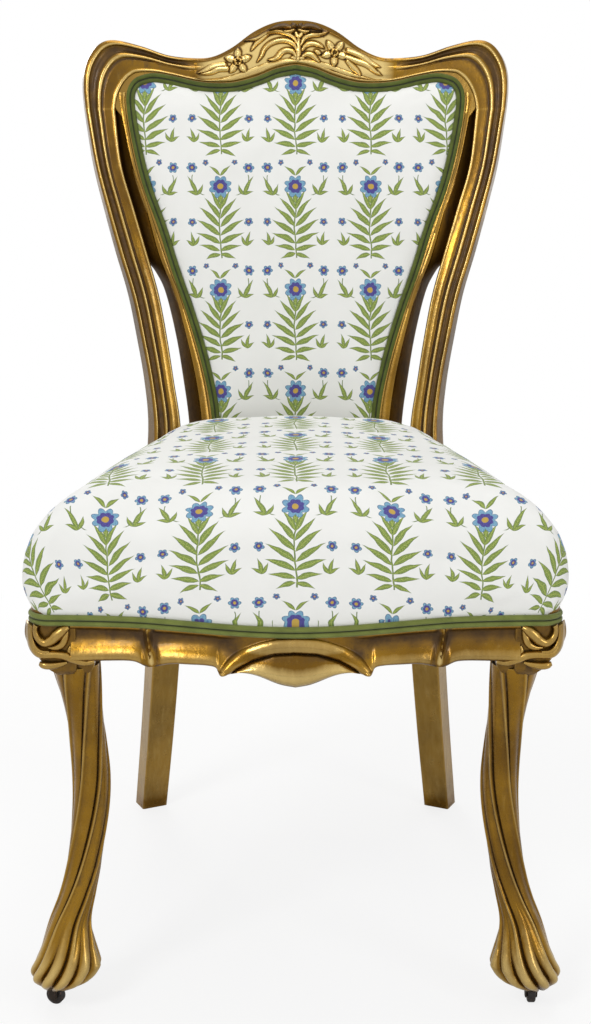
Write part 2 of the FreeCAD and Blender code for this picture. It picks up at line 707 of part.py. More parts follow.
def back_pad():
    """The stuffed panel: flat under the welt, crowned inside it."""
    gap = size("soft_gap")
    base_front = size("back_piping_thickness") - size("back_piping_proud")
    base_back = size("front_ledge") - size("sheet_thickness") - gap
    base = panel_prism(OPENING_SHARES, -gap).common(back_slab(base_front, base_back))
    shoulder = size("pad_shoulder")
    crown = size("pad_crown")
    sections = []
    for rise_share, crown_share in CROWN_SHARES:
        height = rail_top + rise_share * size("back_rise")
        half = fabric_half_width(rise_share) * size("back_half_width")

        def at(x, proud):
            return Vector(x, depth_y(x, height, base_front) - proud, height)

        rise = crown * crown_share
        flank = half - shoulder * FLANK_SHARE
        inner = half - shoulder
        right = [at(inner / 2, rise * CROWN_RISE_SHARE), at(inner, rise * SHOULDER_RISE_SHARE),
                 at(flank, rise * FLANK_RISE_SHARE), at(half, 0), at(half / 2, -gap)]
        left = [at(-inner / 2, rise * CROWN_RISE_SHARE), at(-inner, rise * SHOULDER_RISE_SHARE),
                at(-flank, rise * FLANK_RISE_SHARE), at(-half, 0), at(-half / 2, -gap)]
        sections.append([at(0, rise)] + right + [at(0, -gap)] + left[::-1])
    dome = skinned(sections)
    dome = dome.common(panel_prism(FABRIC_SHARES, -gap)).common(above(shoe_top + gap))
    return one_solid(base.common(above(shoe_top + gap)).fuse(dome))


def panel_ring(shallow, deep):
    """A band round the panel between its two outlines."""
    gap = size("soft_gap")
    ring = panel_prism(OPENING_SHARES, -gap).cut(panel_prism(FABRIC_SHARES, 0))
    return one_solid(ring.common(back_slab(shallow, deep)).common(above(shoe_top)))


def panel_sheet(shallow, deep):
    gap = size("soft_gap")
    sheet_layer = panel_prism(OPENING_SHARES, -gap).common(back_slab(shallow, deep))
    return one_solid(sheet_layer.common(above(shoe_top + gap)))


# Seat upholstery. The dome's outlines from the welt to the crown: inset from the rails'
# faces and its rear inset, as shares of the crown's spread, and the height as a share.
DOME_SHARES = [
    (0.026, 0.026, 0.0), (0.0, 0.0, 0.32), (0.018, 0.002, 0.58), (0.080, 0.010, 0.74),
    (0.227, 0.033, 0.87), (0.52, 0.11, 0.955), (1.0, 0.37, 1.0),
]


OUTER_CHORDS = 3
HIDDEN_CHORDS = 2


def dome(thinner):
    """The stuffed seat's outside, or its plainer inside when the cover makes it thinner."""
    sections = []
    chords = HIDDEN_CHORDS if thinner else OUTER_CHORDS
    rows = DOME_SHARES[::2] if thinner else DOME_SHARES
    for inset_share, rear_share, height_share in rows:
        spread = size("crown_spread")
        height = piping_top + size("seat_crown") * height_share - thinner * height_share
        sections.append(seat_ring(inset_share * spread + thinner, height,
                                  rear_share * spread + thinner, chords))
    return skinned(sections)


def hessian_dome(lift):
    """The sprung hessian's arched form over the rails."""
    rise = size("hessian_rise")
    inset = size("hessian_inset")
    edge = size("rail_thickness") / 2
    sections = [seat_ring(edge - lift, rail_top, chords=HIDDEN_CHORDS),
                seat_ring(edge + inset - lift, rail_top + rise + lift,
                          chords=HIDDEN_CHORDS)]
    return skinned(sections)


SPRING_TURNS = 4
STEPS_PER_TURN = 6
WIRE_SIDES = 4


def coil_spring(height):
    """An hourglass spring of wire, standing on the webbing at the origin."""
    wire = size("spring_wire")
    wide = (size("spring_diameter") - wire) / 2
    waist = (size("spring_waist") - wire) / 2
    rise = height - wire

    def place(share):
        angle = 2 * math.pi * SPRING_TURNS * share
        radius = between(waist, wide, (2 * share - 1) ** 2)
        return Vector(radius * math.cos(angle), radius * math.sin(angle),
                      wire / 2 + rise * share)

    sections = []
    count = SPRING_TURNS * STEPS_PER_TURN
    for step in range(count + 1):
        centre = place(step / count)
        outward = Vector(centre.x, centre.y, 0).normalize()
        ring = []
        for corner in range(WIRE_SIDES):
            angle = 2 * math.pi * (corner + 0.5) / WIRE_SIDES
            ring.append(centre + outward * (wire / 2 * math.cos(angle))
                        + Vector(0, 0, wire / 2 * math.sin(angle)))
        sections.append(ring)
    return skinned(sections)


# Sketched pieces: each outline's points are written as the sheet's own terms
def sketch_on(body, plane_role, name):
    plane = [item for item in body.Origin.OriginFeatures if item.Role == plane_role][0]
    sketch = body.newObject("Sketcher::SketchObject", name)
    sketch.AttachmentSupport = [(plane, "")]
    sketch.MapMode = "FlatFace"
    return sketch


def bind(sketch, kind, first, point, value, term):
    """A distance from the sketch's origin, bound to the sheet."""
    index = sketch.addConstraint(Sketcher.Constraint(kind, -1, 1, first, point, value))
    sketch.setExpression("Constraints[%d]" % index, term)


def polygon_sketch(body, plane_role, name, terms):
    """A closed outline of straight edges through points given as pairs of terms."""
    sketch = sketch_on(body, plane_role, name)
    count = len(terms)
    radius = size("wheel_diameter")
    start = [Vector(radius * (2 + math.cos(2 * math.pi * i / count)),
                    radius * (2 + math.sin(2 * math.pi * i / count)), 0) for i in range(count)]
    for i in range(count):
        sketch.addGeometry(Part.LineSegment(start[i], start[(i + 1) % count]), False)
    for i in range(count):
        sketch.addConstraint(Sketcher.Constraint("Coincident", i, 2, (i + 1) % count, 1))
    for i, (across, up) in enumerate(terms):
        bind(sketch, "DistanceX", i, 1, start[i].x, across)
        bind(sketch, "DistanceY", i, 1, start[i].y, up)
    return sketch


def circle_sketch(body, plane_role, name, across, up, radius_term):
    sketch = sketch_on(body, plane_role, name)
    radius = size("wheel_diameter")
    sketch.addGeometry(Part.Circle(Vector(radius, radius, 0), Vector(0, 0, 1), radius), False)
    index = sketch.addConstraint(Sketcher.Constraint("Radius", 0, radius))
    sketch.setExpression("Constraints[%d]" % index, radius_term)
    bind(sketch, "DistanceX", 0, 3, radius, across)
    bind(sketch, "DistanceY", 0, 3, radius, up)
    return sketch


def new_body(label):
    body = doc.addObject("PartDesign::Body", label)
    body.Label = label
    nodes.append(body)
    return body


def revolve(body, sketch, axis):
    feature = body.newObject("PartDesign::Revolution", sketch.Name + "_turned")
    feature.Profile = sketch
    feature.ReferenceAxis = (sketch, [axis])
    feature.Angle = 360
    return feature


def pad(body, sketch, length_term):
    """A pad to both sides of its sketch."""
    feature = body.newObject("PartDesign::Pad", sketch.Name + "_pad")
    feature.Profile = sketch
    feature.Midplane = True
    feature.setExpression("Length", length_term)
    return feature


def pocket_through(body, sketch):
    feature = body.newObject("PartDesign::Pocket", sketch.Name + "_pocket")
    feature.Profile = sketch
    feature.Midplane = True
    feature.Type = "ThroughAll"
    return feature


# Casters: a wheel on an axle in a horn fork, whose stem turns in a socket in the foot
AXLE_TERM = "sizes.wheel_diameter / 2"
CROWN_LOW_TERM = "(sizes.wheel_diameter + sizes.fork_gap)"
CROWN_TERM = "(sizes.wheel_diameter + sizes.fork_gap + sizes.fork_crown)"
SOCKET_LOW_TERM = "(%s + sizes.fork_gap)" % CROWN_TERM
STEM_TERM = "(%s + sizes.stem_length)" % CROWN_TERM
SLOT_TERM = "(sizes.wheel_width / 2 + sizes.fork_gap)"
FORK_TERM = "(sizes.wheel_width / 2 + sizes.fork_gap + sizes.fork_cheek)"
BORE_TERM = "(sizes.stem_diameter / 2 + sizes.running_clearance)"
WHEEL_BORE_TERM = "(sizes.axle_diameter / 2 + sizes.running_clearance)"
TOP_TERM = "(%s + sizes.fork_gap)" % STEM_TERM
CAP_TERM = "(%s + sizes.fork_cheek)" % TOP_TERM
HORN_LOW_SHARE = 0.43

axle_height = size("wheel_diameter") / 2
socket_low = size("wheel_diameter") + size("fork_crown") + 2 * size("fork_gap")
socket_high = socket_low + size("stem_length") + size("fork_cheek")


def up_cylinder(radius, low, high, x):
    return Part.makeCylinder(radius, high - low, Vector(x, 0, low))


def caster_recess():
    """The turned hollow in the right foot's sole, and the bore for the socket."""
    hollow = up_cylinder(size("recess_radius"), 0, socket_low, caster_x)
    return hollow.fuse(up_cylinder(size("socket_diameter") / 2, 0, socket_high, caster_x))


def caster_socket(label):
    body = new_body(label)
    outer = "sizes.socket_diameter / 2"
    profile = polygon_sketch(body, "XZ_Plane", label + "_profile", [
        (BORE_TERM, SOCKET_LOW_TERM), (outer, SOCKET_LOW_TERM), (outer, CAP_TERM),
        ("0", CAP_TERM), ("0", TOP_TERM), (BORE_TERM, TOP_TERM)])
    revolve(body, profile, "V_Axis")
    return body


def caster_fork(label):
    body = new_body(label)
    stem = "sizes.stem_diameter / 2"
    profile = polygon_sketch(body, "XZ_Plane", label + "_stem", [
        ("0", CROWN_LOW_TERM), (FORK_TERM, CROWN_LOW_TERM), (FORK_TERM, CROWN_TERM),
        (stem, CROWN_TERM), (stem, STEM_TERM), ("0", STEM_TERM)])
    revolve(body, profile, "V_Axis")
    horn, trail = "sizes.horn_width / 2", "sizes.caster_trail"
    low = "%s - sizes.horn_width * %s" % (AXLE_TERM, HORN_LOW_SHARE)
    cheeks = polygon_sketch(body, "YZ_Plane", label + "_cheek", [
        ("%s - %s" % (trail, horn), AXLE_TERM), ("%s - %s / 2" % (trail, horn), low),
        ("%s + %s / 2" % (trail, horn), low), ("%s + %s" % (trail, horn), AXLE_TERM),
        ("%s + %s" % (trail, horn), CROWN_TERM), ("%s - %s" % (trail, horn), CROWN_TERM)])
    pad(body, cheeks, FORK_TERM + " * 2")
    slot = polygon_sketch(body, "XZ_Plane", label + "_slot", [
        ("-" + SLOT_TERM, "0"), (SLOT_TERM, "0"), (SLOT_TERM, CROWN_LOW_TERM),
        ("-" + SLOT_TERM, CROWN_LOW_TERM)])
    pocket_through(body, slot)
    hole = circle_sketch(body, "YZ_Plane", label + "_bore", trail, AXLE_TERM,
                         "sizes.axle_diameter / 2")
    pocket_through(body, hole)
    return body


def caster_axle(label):
    axle = doc.addObject("Part::Cylinder", label)
    axle.Label = label
    axle.setExpression("Radius", "sizes.axle_diameter / 2")
    axle.setExpression("Height", FORK_TERM + " * 2")
    nodes.append(axle)
    return axle


def caster_wheel(label):
    body = new_body(label)
    half, edge, tread = "sizes.wheel_width / 2", "sizes.wheel_edge", "sizes.wheel_diameter / 2"
    profile = polygon_sketch(body, "XY_Plane", label + "_profile", [
        ("-" + half, WHEEL_BORE_TERM), (half, WHEEL_BORE_TERM),
        (half, "%s - %s" % (tread, edge)), ("%s - %s" % (half, edge), tread),
        ("%s - %s" % (edge, half), tread), ("-" + half, "%s - %s" % (tread, edge))])
    revolve(body, profile, "H_Axis")
    return body


def make_caster(side):
    name = SIDE_NAME[side]
    turn = Rotation(Vector(0, 0, 1), size(name + "_caster_turn"))
    under_foot = Vector(side * caster_x, 0, 0)
    at_axle = under_foot + turn.multVec(Vector(0, size("caster_trail"), axle_height))
    half_fork = size("wheel_width") / 2 + size("fork_gap") + size("fork_cheek")
    caster_socket("caster_socket_" + name).Placement = Placement(under_foot, turn)
    caster_fork("caster_fork_" + name).Placement = Placement(under_foot, turn)
    caster_wheel("caster_wheel_" + name).Placement = Placement(at_axle, turn)
    along = Rotation(Vector(0, 1, 0), 90)
    axle_start = at_axle - turn.multVec(Vector(half_fork, 0, 0))
    caster_axle("caster_axle_" + name).Placement = Placement(axle_start, turn * along)
    print("caster", name, "stem", under_foot, "axle", at_axle,
          "along", turn.multVec(Vector(1, 0, 0)))


# Dowels that pin each crest ear down on its post
crest_joint = rail_top + POST_TOP_SHARE * size("back_rise")
DOWEL_PLACE_SHARES = (0.30, 0.72)


def dowels(grow):
    inner_x, outer_x = [share * size("back_half_width") for share in POST_SHARES[-1][1:]]
    radius = size("dowel_diameter") / 2 + grow
    length = size("dowel_length") + 2 * grow
    pegs = []
    for share in DOWEL_PLACE_SHARES:
        x = between(inner_x, outer_x, share)
        base = Vector(x, back_y(x, crest_joint), crest_joint - length / 2)
        pegs.append(Part.makeCylinder(radius, length, base))
    return Part.Compound(pegs)


# Corner braces glued into the angles between the rails
brace_low = web_height + size("web_thickness")
REAR_BRACE_SHARE = 0.8


def front_brace(front, side_rail, leg):
    root, reach = size("brace_root"), size("brace_leg")
    corner_x = side_x(block_back_y, size("rail_thickness")) + root
    corner_y = front_y + size("rail_thickness") - root
    points = [Vector(corner_x, corner_y, brace_low),
              Vector(corner_x, corner_y + reach + root, brace_low),
              Vector(corner_x - reach - root, corner_y, brace_low)]
    brace = polygon_prism(points, size("brace_height"))
    return one_solid(brace.cut(front).cut(side_rail).cut(leg))


def rear_brace(square, rear, side_rail, post):
    root, reach = size("brace_root"), size("brace_leg") * REAR_BRACE_SHARE
    corner_x = min(square[0].x, side_x(square[0].y, size("rail_thickness"))) + root
    corner = Vector(corner_x, square[0].y, brace_low)
    points = [corner, corner - Vector(reach, -root, 0), corner - Vector(-root / 2, reach, 0)]
    brace = polygon_prism(points, size("brace_height"))
    return one_solid(brace.cut(rear).cut(side_rail).cut(post))


# Webbing across the ledges under the rails, with the springs standing on it
WEB_ROWS = 5


def web_limits(low, high):
    gap = size("soft_gap")
    inset = size("rail_thickness") - size("web_ledge_width") + gap
    rear = size("rear_rail_front") - size("web_ledge_width") + gap
    return seat_prism(inset, low, high, rear)


def webbing_crosswise():
    half = size("web_width") / 2
    wide = size("front_half_width")
    low = web_height - size("web_thickness")
    first = size("spring_front") - size("web_spacing")
    limits = web_limits(low, web_height)
    strips = []
    for row in range(WEB_ROWS):
        y = first + row * size("web_spacing")
        strips.append(box(-wide, wide, y - half, y + half, low, web_height).common(limits))
    return Part.Compound([solid for strip in strips for solid in strip.Solids])


def webbing_lengthwise():
    half = size("web_width") / 2
    high = web_height - size("web_thickness")
    low = high - size("web_thickness")
    limits = web_limits(low, high)
    strips = []
    for column in (-1, 0, 1):
        x = column * size("spring_spread")
        strips.append(box(x - half, x + half, -size("front_half_width"), back_line_y, low,
                          high).common(limits))
    return Part.Compound([solid for strip in strips for solid in strip.Solids])


def seat_springs():
    spring = coil_spring(rail_top + size("hessian_rise") - web_height)
    front, back = size("spring_front"), size("spring_front") + 2 * size("web_spacing")
    spread = size("spring_spread")
    places = [(-spread, front), (spread, front), (0, (front + back) / 2), (-spread, back),
              (spread, back)]
    copies = []
    for x, y in places:
        copy = spring.copy()
        copy.translate(Vector(x, y, web_height))
        copies.append(copy)
    return Part.Compound(copies)


def seat_cover(front, side_rail, rear, leg, joint_prism):
    cover = dome(0).cut(dome(size("cover_thickness"))).cut(rear).cut(front)
    for side in (LEFT, RIGHT):
        for wood in (side_rail, leg, joint_prism):
            cover = cover.cut(sided(wood, side))
    return one_solid(cover)


def seat_hessian():
    outer = hessian_dome(size("sheet_thickness"))
    return one_solid(outer.cut(hessian_dome(0)))


def seat_stuffing(joint_prism):
    gap = size("soft_gap")
    stuffing = dome(size("cover_thickness") + gap).common(above(rail_top))
    stuffing = stuffing.cut(hessian_dome(size("sheet_thickness") + gap))
    for side in (LEFT, RIGHT):
        stuffing = stuffing.cut(sided(joint_prism, side))
    return one_solid(stuffing)


def seat_piping(joint_prism):
    proud = size("seat_piping_proud")
    band = seat_prism(-proud, show_top, piping_top, rear_reach)
    band = band.cut(seat_prism(size("rabbet_depth"), show_top, piping_top, rear_reach * 2))
    wide = size("front_half_width") * 2
    stop = side_end.y - size("tenon_thickness")
    band = band.common(box(-wide, wide, -wide, stop, show_top, piping_top))
    for side in (LEFT, RIGHT):
        band = band.cut(sided(joint_prism, side))
    return one_solid(band)


def dust_cover(leg, joint_prism):
    cover = web_limits(rail_bottom, rail_bottom + size("dust_cover_thickness"))
    for side in (LEFT, RIGHT):
        cover = cover.cut(sided(leg, side)).cut(sided(joint_prism, side))
    return one_solid(cover)


# The pieces, from the frame outwards
square = post_square()
joint_prism = polygon_prism([point + Vector(0, 0, prism_bottom) for point in square],
                            lean_start - prism_bottom)
solid_post = right_post(square, joint_prism)
side_rail = right_side_rail(joint_prism)
rear = rear_rail(square, joint_prism)
front = front_rail()
leg = right_front_leg(side_tenon(clearance), caster_recess())
ledge_ring = ledge()
plain_crest = crest_rail()
stile = right_stile(solid_post, plain_crest, ledge_ring)
post = solid_post.cut(rear_tenon(joint_prism, clearance)).cut(cross_tenon(square, clearance))
post = post.cut(dowels(clearance))
split = rail_top + EAR_SPLIT_SHARE * size("back_rise")
crest = plain_crest.fuse(ledge_ring.common(above(split))).removeSplitter()
for side in (LEFT, RIGHT):
    crest = crest.cut(sided(dowels(clearance), side)).cut(sided(stile, side))

keep("crest_rail", one_solid(crest))
keep("crest_dowels", Part.Compound(dowels(0).Solids + mirrored(dowels(0)).Solids))
shoe = shoe_rail(stile)
keep("shoe_rail", shoe)
keep("front_seat_rail", front)
keep("rear_seat_rail", rear)
brace_front = front_brace(front, side_rail, leg)
brace_rear = rear_brace(square, rear, side_rail, joint_prism)
for side in (LEFT, RIGHT):
    name = SIDE_NAME[side]
    keep("back_post_" + name, sided(one_solid(post), side))
    keep("splat_stile_" + name, sided(stile, side))
    keep("side_seat_rail_" + name, sided(one_solid(side_rail), side))
    keep("front_leg_" + name, sided(one_solid(leg), side))
    keep("front_brace_" + name, sided(brace_front, side))
    keep("rear_brace_" + name, sided(brace_rear, side))
    make_caster(side)



def fitted_in_frame(layer):
    """A layer of the back's upholstery, cleared of the frame round it."""
    for side in (LEFT, RIGHT):
        layer = layer.cut(sided(stile, side))
    return one_solid(layer.cut(shoe))


base_back = size("front_ledge")
rear_start = size("back_depth") - size("rear_ledge")
rear_face = rear_start + size("panel_thickness")
keep("back_hessian", fitted_in_frame(panel_sheet(base_back - size("sheet_thickness"),
                                                 base_back)))
keep("back_pad", fitted_in_frame(back_pad()))
keep("back_piping", fitted_in_frame(
    panel_ring(-size("back_piping_proud"),
               size("back_piping_thickness") - size("back_piping_proud"))))
keep("rear_back_panel", fitted_in_frame(panel_sheet(rear_start, rear_face)))
keep("rear_back_piping", fitted_in_frame(
    panel_ring(rear_face, rear_face + size("panel_thickness"))))
keep("webbing_crosswise", webbing_crosswise())
keep("webbing_lengthwise", webbing_lengthwise())
keep("seat_springs", seat_springs())
keep("seat_hessian", seat_hessian())
keep("seat_stuffing", seat_stuffing(joint_prism))
keep("seat_cover", seat_cover(front, side_rail, rear, leg, joint_prism))
keep("seat_piping", seat_piping(joint_prism))
keep("dust_cover", dust_cover(leg, joint_prism))
doc.recompute()

# Put the origin in the middle of the outline, on the floor
bounds = FreeCAD.BoundBox()
for item in nodes:
    bounds.add(item.Shape.optimalBoundingBox(False, False))
shift = Placement(Vector(0, -bounds.Center.y, 0), Rotation())
for item in nodes:
    item.Placement = shift * item.Placement
doc.recompute()
print("overall", bounds.XLength, bounds.YLength, bounds.ZLength, "moved by", -bounds.Center.y)

for item in doc.Objects:
    if "Invalid" in item.State or "Error" in item.State:
        raise RuntimeError(item.Label + " did not build: " + str(item.State))
os.makedirs("parts", exist_ok=True)
for item in nodes:
    if item.Shape.isNull() or not item.Shape.isValid():
        raise RuntimeError(item.Label + " has no valid shape")
    item.Shape.exportStep(os.path.join("parts", item.Label + ".step"))
    print(item.Label, round(item.Shape.Volume), len(item.Shape.Solids))
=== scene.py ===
"""A carved and gilt side chair with a padded hollow back and a sprung seat: its looks."""
import bisect
import json
import math
from functools import reduce

import bmesh
import bpy
import numpy as np
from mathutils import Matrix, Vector


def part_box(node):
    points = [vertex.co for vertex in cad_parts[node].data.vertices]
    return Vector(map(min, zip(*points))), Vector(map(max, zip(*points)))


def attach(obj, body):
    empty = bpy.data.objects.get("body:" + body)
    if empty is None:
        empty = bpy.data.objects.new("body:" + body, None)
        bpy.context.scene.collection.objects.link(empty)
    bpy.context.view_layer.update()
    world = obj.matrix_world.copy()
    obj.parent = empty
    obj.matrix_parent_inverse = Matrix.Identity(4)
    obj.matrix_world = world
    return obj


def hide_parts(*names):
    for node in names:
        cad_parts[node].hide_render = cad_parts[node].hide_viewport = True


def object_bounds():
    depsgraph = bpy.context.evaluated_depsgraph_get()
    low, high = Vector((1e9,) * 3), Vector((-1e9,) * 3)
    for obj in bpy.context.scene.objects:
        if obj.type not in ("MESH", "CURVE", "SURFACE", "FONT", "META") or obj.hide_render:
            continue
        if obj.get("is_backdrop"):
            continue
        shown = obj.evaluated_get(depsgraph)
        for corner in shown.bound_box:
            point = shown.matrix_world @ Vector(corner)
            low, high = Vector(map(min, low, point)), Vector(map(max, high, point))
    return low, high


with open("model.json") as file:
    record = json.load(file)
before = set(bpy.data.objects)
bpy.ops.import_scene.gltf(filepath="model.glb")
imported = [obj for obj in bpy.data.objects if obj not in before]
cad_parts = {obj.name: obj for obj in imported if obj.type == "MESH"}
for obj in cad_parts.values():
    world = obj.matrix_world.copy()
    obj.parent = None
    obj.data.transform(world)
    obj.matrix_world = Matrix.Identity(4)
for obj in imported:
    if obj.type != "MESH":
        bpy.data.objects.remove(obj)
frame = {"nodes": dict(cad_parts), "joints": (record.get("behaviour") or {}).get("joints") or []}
CAD_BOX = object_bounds()

# The maker's drawing is in millimetres, with Y = 0 on the line of the front casters.
FRONT_LINE = next(joint["pos_m"][1] for joint in frame["joints"]
                  if joint["name"] == "caster_swivel_left")


def at(x, y, z):
    """A place on the drawing, in the scene's metres."""
    return Vector((x / 1000, y / 1000 + FRONT_LINE, z / 1000))


# ---- the studio ---------------------------------------------------------------------

scene = bpy.context.scene
scene.view_settings.view_transform = "Standard"

camera = bpy.data.objects.new("camera", bpy.data.cameras.new("camera"))
scene.collection.objects.link(camera)
camera.location = (0, -1.6864, 0.8239)
camera.rotation_euler = (math.radians(77), 0, 0)
camera.data.lens = 56.25
camera.data.sensor_width = 36
scene.camera = camera


def soft_lamp(name, place, aim, wide, high, watts):
    """A studio softbox that faces the place that it is aimed at."""
    light = bpy.data.lights.new(name, "AREA")
    light.shape = "RECTANGLE"
    light.size, light.size_y, light.energy = wide, high, watts
    lamp = bpy.data.objects.new(name, light)
    scene.collection.objects.link(lamp)
    lamp.location = place
    lamp.rotation_euler = (Vector(aim) - Vector(place)).to_track_quat("-Z", "Y").to_euler()


soft_lamp("key_lamp", (-1.5, -2.2, 2.3), (0, -0.1, 0.5), 0.9, 0.9, 34)
soft_lamp("fill_lamp", (1.9, -1.9, 1.3), (0, -0.1, 0.5), 0.7, 1.4, 13)
soft_lamp("top_lamp", (0.1, 0.2, 2.6), (0, -0.1, 0.4), 1.0, 1.0, 14)
soft_lamp("rear_lamp", (-0.7, 2.4, 1.6), (0, 0, 0.5), 1.0, 1.2, 14)


# ---- finishes: shader sums are written as plain sums ----------------------------------

def math_node(operation, swapped=False):
    """A method that adds one Math node to its mark's finish."""
    def method(self, *others):
        values = (*others, self) if swapped else (self, *others)
        return self.finish.node("ShaderNodeMath", {"operation": operation},
                                dict(enumerate(values)))
    return method


class Mark:
    """One output of a finish's nodes. Sums on it add Math nodes."""

    def __init__(self, finish, socket):
        self.finish, self.socket = finish, socket

    __add__ = __radd__ = math_node("ADD")
    __mul__ = __rmul__ = math_node("MULTIPLY")
    __sub__, __rsub__ = math_node("SUBTRACT"), math_node("SUBTRACT", swapped=True)
    __truediv__, __abs__ = math_node("DIVIDE"), math_node("ABSOLUTE")
    larger, smaller = math_node("MAXIMUM"), math_node("MINIMUM")
    fraction, sine = math_node("FRACT"), math_node("SINE")
    turn, root = math_node("ARCTAN2"), math_node("SQRT")

    def between(self, low, high):
        """0 up to low and 1 from high, with a soft step between them."""
        settings = {"interpolation_type": "SMOOTHSTEP"}
        return self.finish.node("ShaderNodeMapRange", settings, {0: self, 1: low, 2: high})


class Nodes:
    """A node tree under way, and the one method that adds its nodes."""

    def __init__(self, tree):
        self.tree = tree

    def node(self, kind, settings, sockets, output=0):
        made = self.tree.nodes.new(kind)
        for name, value in settings.items():
            setattr(made, name, value)
        for name, value in sockets.items():
            if isinstance(value, Mark):
                self.tree.links.new(value.socket, made.inputs[name])
            else:
                made.inputs[name].default_value = value
        return Mark(self, made.outputs[output])


class Finish(Nodes):
    """A material under way, and its patterns."""

    def __init__(self, name, **constants):
        self.material = bpy.data.materials.new(name)
        self.material.use_nodes = True
        super().__init__(self.material.node_tree)
        self.shader = self.tree.nodes["Principled BSDF"]
        for socket, value in constants.items():
            self.shader.inputs[socket.replace("_", " ")].default_value = value

    def place(self):
        return self.node("ShaderNodeTexCoord", {}, {}, "Object")

    def chart(self):
        return self.node("ShaderNodeUVMap", {"uv_map": "chart"}, {})

    def parts(self, vector):
        """A vector's X, Y and Z."""
        return [self.node("ShaderNodeSeparateXYZ", {}, {0: vector}, i) for i in range(3)]

    def stretched(self, vector, scale):
        return self.node("ShaderNodeVectorMath", {"operation": "MULTIPLY"},
                         {0: vector, 1: scale})

    def noise(self, vector, scale, detail=2.0, rough=0.5):
        sockets = {"Vector": vector, "Scale": scale, "Detail": detail, "Roughness": rough}
        return self.node("ShaderNodeTexNoise", {}, sockets)

    def colours(self, factor, low, high):
        """One colour, or another where the factor is 1."""
        settings = {"data_type": "RGBA", "clamp_factor": True}
        return self.node("ShaderNodeMix", settings, {0: factor, 6: low, 7: high}, 2)

    def attribute(self, name):
        return self.node("ShaderNodeAttribute", {"attribute_name": name}, {}, "Fac")

    def bump(self, height, strength, distance):
        sockets = {"Strength": strength, "Distance": distance, "Height": height}
        self.feed("Normal", self.node("ShaderNodeBump", {}, sockets))

    def feed(self, socket, value):
        self.tree.links.new(value.socket, self.shader.inputs[socket])


def paint(red, green, blue):
    """A colour as the eye names it from 0 to 255, for a shader."""
    def linear(share):
        return share / 12.92 if share <= 0.04045 else ((share + 0.055) / 1.055) ** 2.4
    return (*(linear(value / 255) for value in (red, green, blue)), 1.0)


def gilding(name, darkened_all=0.0):
    """Old gold leaf: darker olive brown where the mesh says so (patina in the hollows and painted
    shade), painted pale gold where it says least (painted highlight), darker in creases, paler on
    sharp edges, and speckled.
    """
    finish = Finish(name, Coat_Weight=0.12, Coat_Roughness=0.1)
    place = finish.place()
    broad = finish.noise(place, 13, 3)
    fine = finish.noise(place, 75, 4, 0.65)
    streaks = finish.noise(finish.stretched(place, (160, 160, 26)), 1, 3, 0.6)
    # How dark the leaf is painted, read from the mesh: patina in the hollows, painted shade, and
    # painted highlight where it is lowest
    shade_and_patina = finish.attribute("shade_and_patina") + darkened_all
    pointed = finish.node("ShaderNodeNewGeometry", {}, {}, "Pointiness")
    # From the pointiness: painted shade and patina in creases, and paler sharp edges
    crease = 1 - pointed.between(0.44, 0.49)
    edge = pointed.between(0.52, 0.58)
    speck = finish.noise(place, 520, 2, 0.7).between(0.62, 0.72)
    worn = (broad.between(0.5, 0.75) * streaks.between(0.45, 0.75)).larger(speck * 0.7)
    dark = (shade_and_patina + crease * 0.3 - edge * 0.2 + (fine - 0.5) * 0.6
            + worn * 0.4).between(0.12, 1.0)
    # Painted highlight: pale gold where the mesh's darkness is lowest, with random rubbed streaks
    painted_highlight_and_wear = (0.14 - shade_and_patina) * 1.7 + (streaks - 0.5) * 0.3
    leaf = finish.colours(broad.between(0.3, 0.7), paint(108, 76, 15), paint(144, 106, 27))
    leaf = finish.colours(streaks.between(0.55, 0.8) * 0.2, leaf, paint(186, 154, 84))
    leaf = finish.colours(painted_highlight_and_wear, leaf, paint(220, 192, 124))
    leaf = finish.colours(edge * 0.2, leaf, paint(214, 184, 112))
    # The dark brown of the patina and of the painted shade
    shaded_and_patinated = finish.colours(fine, paint(82, 56, 18), paint(50, 34, 12))
    finish.feed("Base Color", finish.colours(dark, leaf, shaded_and_patinated))
    finish.feed("Metallic", 0.92 - dark * 0.3)
    finish.feed("Roughness", 0.17 + fine * 0.16 + dark * 0.26)
    finish.bump(fine * 0.6 + streaks * 0.25 + finish.noise(place, 230, 2) * 0.3, 0.3, 0.0014)
    return finish.material


# One sprig of the printed cloth, in millimetres in its cell of 88 by 120, and alike on both
# sides of its stem: each leaf has the place of its foot, its direction in degrees, its length
# and half its width.
CELL_WIDE, CELL_HIGH = 0.088, 0.120
SPRIG_LEAVES = [
    (0, -51, -20, 19, 2.3), (0, -47, 12, 26, 2.6), (0, -39, 24, 31, 2.9), (0, -30, 34, 34, 2.9),
    (0, -20, 43, 34, 2.8), (0, -10, 52, 31, 2.6), (0, 0, 62, 26, 2.3), (0, 8, 74, 17, 1.9),
    (27, 17, 62, 25, 2.2), (27, 17, 116, 15, 1.9), (27, 17, 20, 13, 1.8),
    (31, -42, 78, 18, 1.9), (31, -42, 118, 14, 1.7), (31, -42, 38, 12, 1.6), (0, 40, 40, 17, 1.7),
]
SPRIG_FLOWERS = [(0, 27, 13.5, 8), (33, 49, 6.5, 6), (33, -14, 5, 5), (17, 55, 3.6, 5)]


